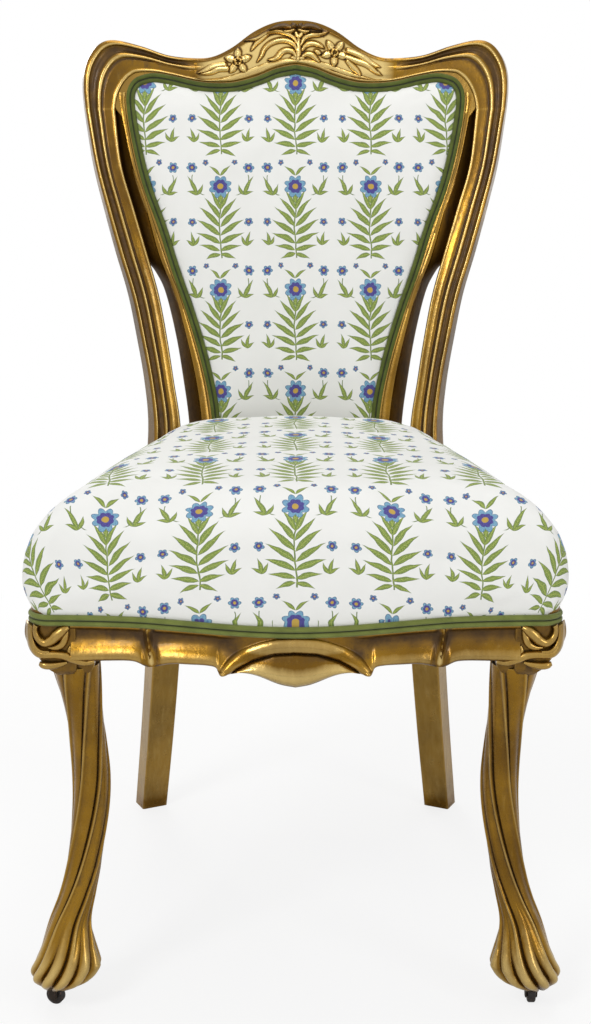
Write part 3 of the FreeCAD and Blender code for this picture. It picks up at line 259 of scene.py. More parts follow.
def printed_cloth(name):
    """A close linen weave with a printed sprig, repeated in a straight grid."""
    finish = Finish(name, Roughness=0.85, Sheen_Weight=0.15, Specular_IOR_Level=0.25)
    chart = finish.chart()
    wander = finish.noise(chart, 55, 2)
    wander_up = finish.noise(finish.stretched(chart, (1, -1, 1)), 61, 2)
    x, y, _ = finish.parts(chart)
    x = ((x + (wander - 0.5) * 0.004) / CELL_WIDE + 0.5).fraction() - 0.5
    y = ((y + (wander_up - 0.5) * 0.004) / CELL_HIGH + 0.5).fraction() - 0.5
    x, y = x * (CELL_WIDE * 1000), y * (CELL_HIGH * 1000)
    stem = 0.8 - abs(x - (y * 0.09).sine() * 1.2)
    leaves = stem.smaller(y + 56).smaller(16 - y)
    x = abs(x)
    swirl = x - 13
    tendril = 0.5 - abs((swirl * swirl + (y - 36) * (y - 36)).root() - 20)
    leaves = leaves.larger(tendril.smaller(40 - y).smaller(y - 17).smaller(x - 8))
    ribs = None
    for foot_x, foot_y, degrees, length, half_width in SPRIG_LEAVES:
        turn = math.radians(degrees)
        right, up = x - foot_x, y - foot_y
        along = (right * math.cos(turn) + up * math.sin(turn)) / length
        across = abs(up * math.cos(turn) - right * math.sin(turn) + (along * (1 - along)) * -4)
        body = along * (1 - along) * (along * -1.4 + 1.75).larger(0.3) * (4 * half_width) - across
        rib = (across * 0.8 + along * -9).fraction()
        rib = rib - rib * (0.55 - across).between(0, 0.3)
        ribs = rib if ribs is None else ribs + (rib - ribs) * body.between(-0.3, 0)
        leaves = leaves.larger(body)
    blooms = []
    for centre_x, centre_y, reach, count in SPRIG_FLOWERS:
        right, up = x - centre_x, y - centre_y
        away = (right * right + up * up).root()
        lobes = abs((right.turn(up) * (count / 2)).sine())
        blooms.append(((lobes * 0.32 + 0.68) * reach - away,
                       (lobes * 0.10 + 0.52) * reach - away, reach * 0.25 - away))
    petals, hearts, eyes = (reduce(Mark.larger, marks) for marks in zip(*blooms))
    ink = finish.noise(chart, 900, 2, 0.7)
    ground = finish.colours(finish.noise(chart, 18, 2), paint(233, 233, 229), paint(242, 242, 239))
    green = finish.colours(ribs.between(0.3, 0.6), paint(146, 164, 66), paint(78, 108, 42))
    green = finish.colours(ink.between(0.5, 0.62) * 0.55, green, paint(186, 194, 120))
    rim = 1 - leaves.between(0.15, 0.75)
    green = finish.colours(rim * 0.75, green, paint(62, 92, 40))
    colour = finish.colours(leaves.between(-0.15, 0.25), ground, green)
    blue = finish.colours(ink.between(0.45, 0.6), paint(126, 174, 196), paint(88, 132, 176))
    blue = finish.colours(1 - petals.between(0.2, 1.0), blue, paint(50, 84, 120))
    colour = finish.colours(petals.between(-0.15, 0.25), colour, blue)
    violet = finish.colours(ink.between(0.45, 0.6), paint(58, 54, 128), paint(84, 76, 156))
    colour = finish.colours(hearts.between(-0.2, 0.3), colour, violet)
    colour = finish.colours(eyes.between(-0.2, 0.3), colour, paint(190, 158, 66))
    weave_x, weave_y, _ = finish.parts(finish.stretched(chart, (5200, 5200, 1)))
    weave = weave_x.sine() * weave_y.sine()
    finish.feed("Base Color", finish.colours(weave * 0.06 + 0.04, colour, paint(205, 204, 196)))
    finish.bump(weave * 0.5 + finish.noise(chart, 700, 2), 0.25, 0.0005)
    return finish.material


def cord_cloth(name, light, deep, thread):
    """A welt's covering: fine twill threads that run aslant the cord, painted darker in the seam
    between its two cords as shade.
    """
    finish = Finish(name, Roughness=0.8, Sheen_Weight=0.2, Specular_IOR_Level=0.25)
    chart = finish.chart()
    across, along, _ = finish.parts(chart)
    twill = ((across * 900 + along * 1500) * math.pi).sine()
    shade = finish.noise(chart, 60, 3)
    colour = finish.colours(shade.between(0.3, 0.7), light, deep)
    colour = finish.colours(twill * 0.25 + 0.25, colour, thread)
    # Painted shade: near black in the seam where the two cords meet
    seam_shade = (*(part * 0.2 for part in deep[:3]), 1)
    colour = finish.colours(finish.attribute("shade_and_patina"), colour, seam_shade)
    finish.feed("Base Color", colour)
    finish.bump(twill + finish.noise(chart, 900, 2), 0.4, 0.0004)
    return finish.material


def plain_cloth(name, light, deep, threads):
    """An open plain weave for the cloths inside and under the seat."""
    finish = Finish(name, Roughness=0.95, Specular_IOR_Level=0.15)
    place = finish.place()
    x, y, z = finish.parts(finish.stretched(place, (threads, threads, threads)))
    weave = x.sine() * (y + z).sine()
    slub = finish.noise(finish.stretched(place, (40, 400, 400)), 1, 3)
    finish.feed("Base Color", finish.colours(slub + weave * 0.2, deep, light))
    finish.bump(weave + slub, 0.5, 0.0006)
    return finish.material


def timber(name, light, deep):
    """Plain beech, with its grain along the wood and a little dirt."""
    finish = Finish(name, Roughness=0.6)
    place = finish.place()
    grain = finish.noise(finish.stretched(place, (18, 160, 160)), 1, 5, 0.65)
    flecks = finish.noise(finish.stretched(place, (90, 700, 700)), 1, 2)
    colour = finish.colours(grain.between(0.35, 0.65), light, deep)
    finish.feed("Base Color", finish.colours(flecks.between(0.6, 0.72) * 0.4, colour, deep))
    finish.feed("Roughness", 0.5 + grain * 0.2)
    finish.bump(grain, 0.3, 0.0006)
    return finish.material


def old_iron(name, light, deep, metal, gloss):
    """Dark metal with dull patches and a little rust."""
    finish = Finish(name)
    place = finish.place()
    cloud = finish.noise(place, 160, 4, 0.6)
    rust = finish.noise(place, 420, 3).between(0.58, 0.7)
    colour = finish.colours(cloud, light, deep)
    finish.feed("Base Color", finish.colours(rust * 0.5, colour, paint(88, 52, 32)))
    finish.feed("Metallic", metal - rust * metal * 0.6)
    finish.feed("Roughness", gloss + cloud * 0.25)
    finish.bump(cloud, 0.3, 0.0004)
    return finish.material


GILT = gilding("gold_leaf")
# The rear seat rail and shoe rail take this copy of the gilding, darker all over
REAR_GILT = gilding("rear_gold_leaf", 0.3)
PRINT = printed_cloth("sprig_print")
OLIVE = cord_cloth("olive_welt", paint(112, 121, 54), paint(88, 97, 38), paint(136, 146, 76))
GREEN = cord_cloth("green_welt", paint(84, 96, 34), paint(60, 72, 22), paint(108, 118, 50))
BEECH = timber("bare_beech", paint(176, 138, 92), paint(128, 92, 56))
IRON = old_iron("caster_iron", paint(70, 62, 54), paint(34, 30, 28), 0.9, 0.35)
WHEEL = old_iron("wheel_dark", paint(46, 40, 36), paint(22, 19, 18), 0.2, 0.4)
STEEL = old_iron("spring_steel", paint(120, 118, 112), paint(74, 70, 66), 0.95, 0.3)
HESSIAN = plain_cloth("hessian_cloth", paint(176, 148, 104), paint(122, 96, 62), 2600)
WEBBING = plain_cloth("jute_webbing", paint(190, 166, 124), paint(138, 112, 74), 1900)
LINING = plain_cloth("black_lining", paint(52, 50, 48), paint(30, 29, 28), 4200)
FIBRE = plain_cloth("stuffing_fibre", paint(196, 182, 150), paint(150, 130, 96), 900)


# ---- making meshes ----------------------------------------------------------------------

def eased(rows, steps):
    """Rows of numbers with more between them, on a smooth curve through them all."""
    table = np.array(rows, float)
    table = np.vstack([2 * table[0] - table[1], table, 2 * table[-1] - table[-2]])
    found = []
    for before, start, end, after in zip(table, table[1:], table[2:], table[3:]):
        for step in range(steps):
            t = step / steps
            bend = 2 * before - 5 * start + 4 * end - after
            bend = bend + t * (3 * (start - end) + after - before)
            found.append(start + 0.5 * t * ((end - before) + t * bend))
    return found + [table[-2]]


def curve_of(rows):
    """Reads a table's other columns at a value of its first, eased between its rows."""
    table = [tuple(float(value) for value in row) for row in eased(rows, 8)]
    keys = [row[0] for row in table]

    def read(key):
        i = min(max(bisect.bisect_right(keys, key), 1), len(table) - 1)
        low, high = table[i - 1], table[i]
        share = min(max((key - low[0]) / ((high[0] - low[0]) or 1), 0), 1)
        return [a + (b - a) * share for a, b in zip(low[1:], high[1:])]
    return read


def surface(across, along, place, extent=(1, 1), wrapped=True, capped=False, shade_and_patina=None):
    """A grid whose points are placed by their two shares, as one closed or open skin.

    The extent is its real size, for the patterns that follow it, and the last gives how dark
    the finish is painted there: painted shade and painted highlight, with patina.
    """
    bm = bmesh.new()
    bmesh.ops.create_grid(bm, x_segments=across, y_segments=along, size=0.5)
    chart = bm.loops.layers.uv.new("chart")
    shaded_and_patinated = bm.verts.layers.float.new("shade_and_patina")
    for face in bm.faces:
        face.smooth = True
        for loop in face.loops:
            spot = loop.vert.co
            loop[chart].uv = ((spot.x + 0.5) * extent[0], (spot.y + 0.5) * extent[1])
    for vertex in bm.verts:
        u, w = vertex.co.x + 0.5, vertex.co.y + 0.5
        if shade_and_patina:
            vertex[shaded_and_patinated] = shade_and_patina(u, w)
        vertex.co = at(*place(u, w))
    if wrapped:
        bmesh.ops.remove_doubles(bm, verts=bm.verts, dist=2e-6)
        bmesh.ops.dissolve_degenerate(bm, edges=bm.edges, dist=1e-7)
    if capped:
        rim = [edge for edge in bm.edges if edge.is_boundary]
        bmesh.ops.holes_fill(bm, edges=rim, sides=0)
    bmesh.ops.recalc_face_normals(bm, faces=bm.faces)
    return bm


def ring_step(share, count):
    """The number of the place at a share of the way round a ring of places."""
    return int(round(share * count)) % count


def joined(*shells):
    """Several skins as one mesh."""
    whole = bmesh.new()
    whole.loops.layers.uv.new("chart")
    whole.verts.layers.float.new("shade_and_patina")
    for shell in shells:
        part = bpy.data.meshes.new("part")
        shell.to_mesh(part)
        shell.free()
        whole.from_mesh(part)
        bpy.data.meshes.remove(part)
    return whole


def mirror_image(bm):
    """The same skin on the chair's other side, with its faces turned out again."""
    bmesh.ops.scale(bm, vec=(-1, 1, 1), verts=bm.verts)
    bmesh.ops.recalc_face_normals(bm, faces=bm.faces)
    return bm


def as_object(name, bm):
    """A skin made into an object of the scene."""
    mesh = bpy.data.meshes.new(name)
    bm.to_mesh(mesh)
    bm.free()
    piece = bpy.data.objects.new(name, mesh)
    scene.collection.objects.link(piece)
    return piece


def finished(name, bm, material, stands_for=(), sharp=38):
    """A skin made into one of the chair's pieces."""
    piece = as_object(name, bm)
    piece.data.set_sharp_from_angle(angle=math.radians(sharp))
    piece.data.materials.append(material)
    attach(piece, "chair")
    if stands_for:
        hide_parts(*stands_for)
    return piece


def gilt_on_both_sides(*pieces, sharp=38):
    """Gilt pieces of the left and right: each is drawn for one side and mirrored for the other.

    A piece gives its name, its maker, the side it is drawn for, and the node it replaces.
    """
    for side in ("left", "right"):
        for name, make, drawn_for, *replaced in pieces:
            skin = make() if side == drawn_for else mirror_image(make())
            finished(name + side, skin, GILT, [node + side for node in replaced],
                     sharp)


def circle_through(a, b, c):
    """The centre and radius of the circle through three places in plan."""
    (ax, ay), (bx, by), (cx, cy) = a, b, c
    a2, b2, c2 = ax * ax + ay * ay, bx * bx + by * by, cx * cx + cy * cy
    d = 2 * (ax * (by - cy) + bx * (cy - ay) + cx * (ay - by))
    x = (a2 * (by - cy) + b2 * (cy - ay) + c2 * (ay - by)) / d
    y = (a2 * (cx - bx) + b2 * (ax - cx) + c2 * (bx - ax)) / d
    return x, y, math.hypot(ax - x, ay - y)


def bow(a, b, c, count):
    """Evenly spaced places on the arc from a through b to c, without c."""
    x, y, radius = circle_through(a, b, c)
    first = math.atan2(a[1] - y, a[0] - x)
    whole = 2 * math.pi
    through = (math.atan2(b[1] - y, b[0] - x) - first) % whole
    last = (math.atan2(c[1] - y, c[0] - x) - first) % whole
    sweep = last if through <= last else last - whole
    angles = [first + sweep * step / count for step in range(count)]
    return [(x + radius * math.cos(t), y + radius * math.sin(t)) for t in angles]


def run_along(line):
    """How far along a line each of its places lies."""
    return np.concatenate([[0], np.cumsum(np.linalg.norm(np.diff(line, axis=0), axis=1))])


def evenly(points, count, closed=True):
    """Points that many steps apart along a line through the given ones."""
    line = np.array(list(points) + ([points[0]] if closed else []), float)
    run = run_along(line)
    marks = np.linspace(0, run[-1], count + 1)
    return np.array([np.interp(marks, run, line[:, i]) for i in range(line.shape[1])]).T


def loop_normals(loop):
    """Each place's outward direction on a closed line that runs round to the left."""
    ahead = np.roll(loop, -1, axis=0) - np.roll(loop, 1, axis=0)
    ahead /= np.linalg.norm(ahead, axis=1)[:, None]
    return np.stack([ahead[:, 1], -ahead[:, 0]], axis=1)


# ---- the hollow, leaning back ------------------------------------------------------------

HALF, RAIL_TOP, RISE = 250, 410, 554
LEAN_START, LEAN_TURN = 440, math.radians(9.65)
LEAN = math.tan(LEAN_TURN)
FRONT_RADIUS, TOP_RADIUS = 378, 1128
BACK_LINE, BACK_DEPTH, CREST_DEPTH, POST_DEPTH = 461.19, 26, 27, 33
POST_TOP = 0.816
POST_ROWS = [
    (0.054, 0.534, 0.714), (0.162, 0.539, 0.702), (0.253, 0.569, 0.720), (0.343, 0.600, 0.754),
    (0.433, 0.638, 0.794), (0.523, 0.694, 0.852), (0.614, 0.753, 0.906), (0.704, 0.810, 0.955),
    (0.816, 0.840, 0.996),
]
CREST_ROWS = [
    (0.996, 0.816, 0.840, 0.816), (1.003, 0.857, 0.830, 0.841), (0.998, 0.894, 0.812, 0.860),
    (0.973, 0.925, 0.793, 0.873), (0.926, 0.950, 0.768, 0.884), (0.857, 0.957, 0.736, 0.891),
    (0.734, 0.945, 0.660, 0.892), (0.608, 0.927, 0.584, 0.887), (0.480, 0.9215, 0.472, 0.876),
    (0.395, 0.925, 0.380, 0.872), (0.304, 0.944, 0.288, 0.874), (0.200, 0.9765, 0.184, 0.886),
    (0.100, 0.9955, 0.092, 0.902), (0.0, 1.0, 0.0, 0.910),
]
# The moulded face: the share of the way out from the inner edge, then how far it is sunk
# and how dark it is painted (painted shade in the hollows and on the outer border, painted
# highlight on the beads, with patina), at the ears, low on the posts and on the crest's hump.
FACE_ROWS = [
    (0.00, 1.6, .30, 1.4, .30, 1.6, .30), (0.03, 0.4, .05, 0.5, .05, 0.5, .10),
    (0.07, 0.0, -.25, 0.1, -.2, 0.1, -.25), (0.12, 0.9, .30, 0.9, .35, 1.7, .55),
    (0.20, 1.3, .45, 0.5, .10, 1.0, .30), (0.30, 1.4, .40, 0.2, .05, 0.2, .10),
    (0.38, 1.5, .50, 0.9, .40, 0.0, .05), (0.43, 2.6, .85, 2.5, .85, 0.0, .05),
    (0.46, 2.4, .60, 2.4, .60, 0.1, .05), (0.50, 0.8, .00, 0.9, .00, 0.2, .05),
    (0.55, 0.3, -.2, 0.3, -.2, 0.4, .05), (0.605, 1.6, .50, 1.6, .45, 0.7, .10),
    (0.65, 3.4, .80, 3.2, .75, 1.0, .20), (0.73, 4.6, .85, 4.2, .80, 1.4, .35),
    (0.82, 3.2, .60, 3.0, .55, 2.0, .45), (0.86, 1.4, .10, 1.5, .10, 2.4, .45),
    (0.90, 0.8, -.25, 0.9, -.2, 2.8, .45), (0.95, 1.6, .40, 1.6, .40, 3.3, .45),
    (1.00, 3.0, .50, 3.0, .50, 4.0, .35),
]
face_at = curve_of(FACE_ROWS)


def up_back(z):
    """A height as a share of the way up the leaning back."""
    return (z - LEAN_START) / (POST_TOP * RISE - 30)


def curve_in(z):
    """How strongly the back is hollowed from side to side at a height."""
    share = min(max(up_back(z), 0), 1)
    return (1 - share) / FRONT_RADIUS + share / TOP_RADIUS


def back_y(x, z):
    return BACK_LINE + LEAN * max(z - LEAN_START, 0) - curve_in(z) * x * x / 2


def straight_through(x, z):
    return Vector((curve_in(z) * x, 1, 0)).normalized()


def in_back(x, z, sunk):
    """A place as far behind the back's face as it is sunk."""
    return Vector((x, back_y(x, z), z)) + straight_through(x, z) * (sunk - BACK_DEPTH / 2)


def on_member(inner, outer, depth, across, sunk):
    """A place in a frame member's section, between its edges in the front elevation."""
    through = straight_through((inner[0] + outer[0]) / 2, (inner[1] + outer[1]) / 2)
    drawn_in = through.x * depth / 2
    start_x, end_x = inner[0] + drawn_in, outer[0] - drawn_in
    start = Vector((start_x, back_y(start_x, inner[1]), inner[1]))
    end = Vector((end_x, back_y(end_x, outer[1]), outer[1]))
    return start.lerp(end, across) + through * (sunk - depth / 2)


def soft_step(value, low, high):
    share = min(max((value - low) / (high - low), 0), 1)
    return share * share * (3 - 2 * share)


FACE_STEPS = 76
# Round the rest of a section, from the face's outer edge to its inner one: across, depth
# as a share, and how dark it is painted, with painted shade on the sides and back
REST_OF_RIM = [
    (1.0, 0.22, .35), (1.0, 0.4, .25), (1.0, 0.6, .25), (1.0, 0.8, .3), (1.0, 0.93, .3),
    (0.98, 0.985, .2), (0.93, 1.0, .3), (0.7, 1.0, .3), (0.5, 1.0, .3), (0.3, 1.0, .3),
    (0.07, 1.0, .3), (0.02, 0.985, .2), (0.0, 0.93, .3), (0.0, 0.8, .45), (0.0, 0.6, .5),
    (0.0, 0.4, .5), (0.0, 0.22, .45),
]
RIM_STEPS = FACE_STEPS + len(REST_OF_RIM)


def rim_place(index, ear, low):
    """A rim place's share across, its sunk depth or depth share, and how dark it is painted.

    The hump's face takes what the ear's and the low post's weights leave.
    """
    if index >= FACE_STEPS:
        across, deep, shade_and_patina = REST_OF_RIM[index - FACE_STEPS]
        return across, None, deep, shade_and_patina
    across = index / (FACE_STEPS - 1)
    row = face_at(across)
    weights = (ear, low, 1 - ear - low)
    sunk = sum(weight * row[2 * i] for i, weight in enumerate(weights))
    shade_and_patina = sum(weight * row[2 * i + 1] for i, weight in enumerate(weights))
    return across, sunk, None, shade_and_patina


def member(rows, depth_of, weights_of, length):
    """A moulded frame member, drawn along rows of its outer and inner edges."""
    def spot(u, w):
        row = rows[int(round(w * (len(rows) - 1)))]
        return row, rim_place(ring_step(u, RIM_STEPS), *weights_of(row))

    def place(u, w):
        row, (across, sunk, deep, _) = spot(u, w)
        depth = depth_of(row)
        sunk = depth * deep if sunk is None else sunk
        return on_member(row[2:4], row[0:2], depth, across, sunk)

    def shade_and_patina(u, w):
        return spot(u, w)[1][3]
    return surface(RIM_STEPS, len(rows) - 1, place, (0.14, length), capped=True, shade_and_patina=shade_and_patina)


POST_STEPS, SQUARE_X, SQUARE_WIDTH, SQUARE_STEPS = 120, 156, 45, 120
# The rear foot: half its sides, its turn, how far it stands out, and where the splay starts
FOOT_HALF_WIDE, FOOT_HALF_DEEP, FOOT_TURN = 16.25, 13.65, math.radians(26)
FOOT_MOVE, SPLAY_TOP = Vector((28.5, 59, 0)), 340
SPLAY_ROWS = [(0, 1), (0.35, 0.54), (0.7, 0.16), (1.0, 0), (1.3, 0)]


def right_post():
    """One piece of wood from the floor to the ear: moulded above the seat, square below."""
    read = curve_of(POST_ROWS)
    rows = []
    low = POST_ROWS[0][0]
    for step in range(POST_STEPS + 1):
        rise = low + (POST_TOP - low) * step / POST_STEPS
        inner, outer = read(rise)
        z = RAIL_TOP + rise * RISE
        rows.append((outer * HALF, z, inner * HALF, z))

    def depth_of(row):
        return POST_DEPTH + (CREST_DEPTH - POST_DEPTH) * min(up_back(row[1]) / 0.77, 1)

    def weights_of(row):
        ear = soft_step(row[1], 640, 800)
        return ear, 1 - ear
    upper = member(rows, depth_of, weights_of, 0.47)

    through = straight_through(SQUARE_X, LEAN_START)
    across = Vector((through.y, -through.x, 0))
    half_wide = (SQUARE_WIDTH - POST_DEPTH * through.x) / through.y / 2
    half_deep = POST_DEPTH / 2
    centre = Vector((SQUARE_X, back_y(SQUARE_X, LEAN_START), 0))
    foot_centre = centre + FOOT_MOVE
    foot_across = Vector((math.cos(FOOT_TURN), -math.sin(FOOT_TURN), 0))
    foot_through = Vector((math.sin(FOOT_TURN), math.cos(FOOT_TURN), 0))
    # The square's outline goes round in shares of its half sides, with small bevels.
    bevel = ((1, 0.88), (0.965, 0.965), (0.88, 1))
    square = [(a * wide, b * deep) for a, b in ((-1, -1), (1, -1), (1, 1), (-1, 1))
              for wide, deep in (bevel if a * b > 0 else bevel[::-1])]
    outline = evenly(square, SQUARE_STEPS)
    splay = curve_of(SPLAY_ROWS)

    def place(u, w):
        a, b = outline[ring_step(u, SQUARE_STEPS)]
        height = w * LEAN_START
        moved = splay(height / SPLAY_TOP)[0]
        middle = centre.lerp(foot_centre, moved)
        wide = across.lerp(foot_across, moved).normalized()
        wide *= half_wide + (FOOT_HALF_WIDE - half_wide) * moved
        deep = through.lerp(foot_through, moved).normalized()
        deep *= half_deep + (FOOT_HALF_DEEP - half_deep) * moved
        spot = middle + wide * a + deep * b
        return spot.x, spot.y, height

    # Painted shade: darker where the square leg meets the seat rails, and at its foot on the floor
    def shade_and_patina(u, w):
        return 0.04 + 0.33 * soft_step(w, 0.86, 0.95) + 0.2 * (1 - soft_step(w, 0, 0.05))
    lower = surface(SQUARE_STEPS, 70, place, (0.14, 0.44), capped=True, shade_and_patina=shade_and_patina)
    return joined(upper, lower)


def ear_share(x):
    """How far the crest's moulding has changed from the hump's to the ear's."""
    return soft_step(abs(x), 96, 150)


def crest():
    """The ears and the hump between them, with the posts' moulding carried round."""
    left = [(-a, b, -c, d) for a, b, c, d in CREST_ROWS]
    shares = eased(left + CREST_ROWS[-2::-1], 9)
    rows = [(a * HALF, RAIL_TOP + b * RISE, c * HALF, RAIL_TOP + d * RISE)
            for a, b, c, d in shares]

    return member(rows, lambda row: CREST_DEPTH, lambda row: (ear_share(row[0]), 0), 0.75)


STILE_ROWS = [
    (0, 0.396, 0.442, 0.480), (0.054, 0.398, 0.445, 0.484), (0.162, 0.412, 0.456, 0.496),
    (0.253, 0.442, 0.482, 0.523), (0.343, 0.494, 0.525, 0.5565), (0.433, 0.556, 0.577, 0.605),
    (0.478, 0.595, 0.619, 0.652), (0.523, 0.629, 0.657, 0.722), (0.614, 0.696, 0.7116, 0.780),
    (0.704, 0.757, 0.7756, 0.833), (0.816, 0.801, 0.825, 0.866), (0.850, 0.801, 0.832, 0.872),
]
# Round the stile's section: which of its three edges it hangs on (the inner one, the front
# outer and the rear outer), how far past it towards the next, the depth and how dark it is
# painted, with painted shade on the bevelled side
STILE_RIM = [
    (0.00, 1.6, .4), (0.10, 0.5, .1), (0.30, 0.0, .05), (0.55, 0.1, .1), (0.80, 0.5, .2),
    (0.95, 1.0, .2), (1.00, 2.0, .3), (1.15, 4.5, .55), (1.40, 9.0, .7), (1.65, 14.0, .75),
    (1.90, 19.5, .75), (2.00, 22.0, .7), (2.00, 25.0, .5), (1.90, 26.0, .4), (0.80, 26.0, .4),
    (0.10, 26.0, .4), (0.00, 25.0, .4), (0.00, 18.0, .4), (0.00, 9.0, .4),
]
STILE_STEPS = 72


def right_stile():
    """The vase-shaped inner frame: a gilt strip in front and a bevelled side painted darker as
    shade.
    """
    read = curve_of(STILE_ROWS)
    outline = evenly(STILE_RIM, STILE_STEPS)

    def place(u, w):
        across, deep, _ = outline[ring_step(u, STILE_STEPS)]
        rise = STILE_ROWS[-1][0] * w
        inner, front, rear = (share * HALF for share in read(rise))
        z = RAIL_TOP + rise * RISE
        x = inner + (front - inner) * min(across, 1) + (rear - front) * max(across - 1, 0)
        return in_back(x, z, deep)

    # Painted shade on the bevelled side and the back, paler on the beads of the front strip
    def shade_and_patina(u, w):
        return outline[ring_step(u, STILE_STEPS)][2]
    return surface(STILE_STEPS, 130, place, (0.11, 0.47), capped=True, shade_and_patina=shade_and_patina)


gilt_on_both_sides(("moulded_post_", right_post, "right", "back_post_"),
                   ("vase_stile_", right_stile, "right", "splat_stile_"))
finished("carved_crest", crest(), GILT, ["crest_rail"])


# ---- the crest's carving -------------------------------------------------------------------

# Leaves and tendrils as strokes of the gouge: radius at the start and end, height, places
CREST_STROKES = [
    (3.2, 2.6, 4.5, [(2.8, 919.6), (3.1, 926.1), (3.5, 934.8), (3.5, 946.5)]),
    (2.6, 2.0, 4.0, [(3.5, 944), (-0.2, 951.6)]), (2.6, 2.0, 4.0, [(3.5, 944), (8.8, 951.6)]),
    (2.2, 2.2, 3.0, [(-4.0, 921.5), (2.8, 920.6), (10.3, 920.6)]),
    (2.4, 1.6, 4.2, [(2.8, 936.3), (-2.5, 944.3), (-11.4, 949.4), (-23.4, 951.6), (-35.4, 948.6),
                     (-45.9, 942.8), (-60.9, 940.6)]),
    (2.2, 1.4, 3.6, [(-32.4, 947.9), (-39.9, 942.8), (-47.4, 936.3), (-51.9, 929)]),
    (2.6, 1.6, 4.2, [(2, 929), (-1.7, 936.3), (-10, 940.7), (-20.4, 940.7), (-30.2, 937),
                     (-36.9, 930.5), (-39.9, 923.2), (-44.7, 916.2)]),
    (2.6, 1.8, 3.8, [(0.5, 922.5), (-2.5, 927.6), (-9.2, 929.8), (-16, 927.6), (-20.5, 922.5),
                     (-25.7, 919.1), (-32.4, 919.1)]),
    (2.6, 1.8, 4.2, [(6.5, 936.3), (11, 944.3), (18.5, 947.2), (29, 947.9), (39.5, 951.1)]),
    (2.6, 1.8, 4.2, [(8, 930.5), (12.5, 935.6), (19.3, 937.5), (27.5, 935.6), (33.5, 931.9)]),
    (2.6, 1.8, 3.8, [(8.8, 923.2), (14, 925.4), (20, 923.9), (24.5, 919.5), (28.3, 915.6)]),
    (2.2, 1.6, 3.6, [(23.8, 929), (29.8, 925.4)]),
    (3.6, 1.2, 4.0, [(-80.4, 908.5), (-90.8, 908.2), (-99.8, 904.1), (-113.2, 901.8)]),
    (3.2, 1.2, 3.6, [(-83.3, 912.9), (-96.8, 910.6), (-107.2, 905.5), (-116.1, 903.3)]),
    (3.6, 1.4, 4.0, [(60.5, 921.7), (72.4, 917.3), (84.4, 912.9), (93.4, 905.5), (100.8, 900.4)]),
    (3.0, 1.4, 3.6, [(61.2, 917.3), (66.5, 911.5), (72.5, 905.6), (76.2, 899.8)]),
    (3.2, 1.4, 3.8, [(61.9, 928.9), (76.9, 923.1), (88.9, 914.3), (99.3, 909.9)]),
    (3.0, 2.0, 5.0, [(-6, 955.5), (-13, 957.5), (-21, 956.5), (-31, 953)]),
    (3.0, 2.0, 5.0, [(8, 955.5), (15, 957.5), (22, 956.5), (31, 953)]),
    (3.0, 1.6, 5.2, [(-2, 953), (-8, 951), (-15, 951.5)]),
    (3.0, 1.6, 5.2, [(4, 953), (10, 951), (17, 951.5)]),
    (3.6, 3.0, 5.6, [(-3, 957.4), (0, 959.5)]), (3.6, 3.0, 5.6, [(6, 957.4), (4, 959.5)]),
]
CREST_BEAD = (1.7, 1.7, 2.0, [(-116.2, 894.6), (-86.4, 896.1), (-56.4, 904.2), (-26.5, 914.4),
                              (2.8, 918.1), (33.5, 913), (63.5, 902.7), (93.4, 895.4)])
CREST_FLOWERS = [(-67.6, 917.0, 15.5, 0.3), (45.9, 926.8, 15.5, 1.0)]


def stroke_height(x, z, strokes, crisp=1.3):
    """How far the carving stands out at places in the front elevation."""
    height = np.zeros_like(x)
    for first, last, tall, places in strokes:
        line = np.array(eased(places, 4)) if len(places) > 2 else np.array(places, float)
        count = len(line) - 1
        for i in range(count):
            (ax, az), (bx, bz) = line[i], line[i + 1]
            run = max((bx - ax) ** 2 + (bz - az) ** 2, 1e-9)
            t = np.clip(((x - ax) * (bx - ax) + (z - az) * (bz - az)) / run, 0, 1)
            away = np.hypot(x - ax - t * (bx - ax), z - az - t * (bz - az))
            share = (i + t) / count
            radius = (first + (last - first) * share) * np.minimum(1, 5 * (1 - share) + 0.3)
            radius = radius + 1.5 * np.sin(math.pi * share)
            keel = 1 - np.clip(away / radius, 0, 1) ** crisp
            height = np.maximum(height, tall * keel ** 0.8)
    return height


def flower_height(x, z):
    """Two five-petalled flowers with ringed hearts."""
    height = np.zeros_like(x)
    for centre_x, centre_z, reach, turn in CREST_FLOWERS:
        right, up = x - centre_x, z - centre_z
        away = np.hypot(right, up)
        angle = np.arctan2(up, right) + turn
        lobe = 1 - np.abs((angle * 5 / (2 * math.pi)) % 1.0 * 2 - 1)
        edge = reach * (0.50 + 0.58 * lobe)
        share = np.clip(away / edge, 0, 1)
        petal = 5.4 * np.sqrt(np.clip(1 - share ** 4, 0, 1)) * (0.45 + 0.55 * lobe)
        petal -= 1.4 * np.exp(-((away - 0.55 * reach) / 2.2) ** 2)
        petal -= 1.6 * np.exp(-((away - 5.4) / 1.1) ** 2)
        petal += 1.2 * np.exp(-((away - 3.6) / 1.3) ** 2) - 1.4 * np.exp(-(away / 1.4) ** 2)
        height = np.maximum(height, np.where(away < edge, petal, 0))
    return height


CARVING_HALF, CARVING_STEPS, CARVING_ROWS = 124, 420, 110
crest_line = np.array(eased(CREST_ROWS, 8))


def crest_edges(x):
    """The crest's inner and outer edges' heights over a place near its middle."""
    across = abs(x) / HALF
    outer = np.interp(across, crest_line[::-1, 0], crest_line[::-1, 1])
    inner = np.interp(across, crest_line[::-1, 2], crest_line[::-1, 3])
    return RAIL_TOP + inner * RISE, RAIL_TOP + outer * RISE


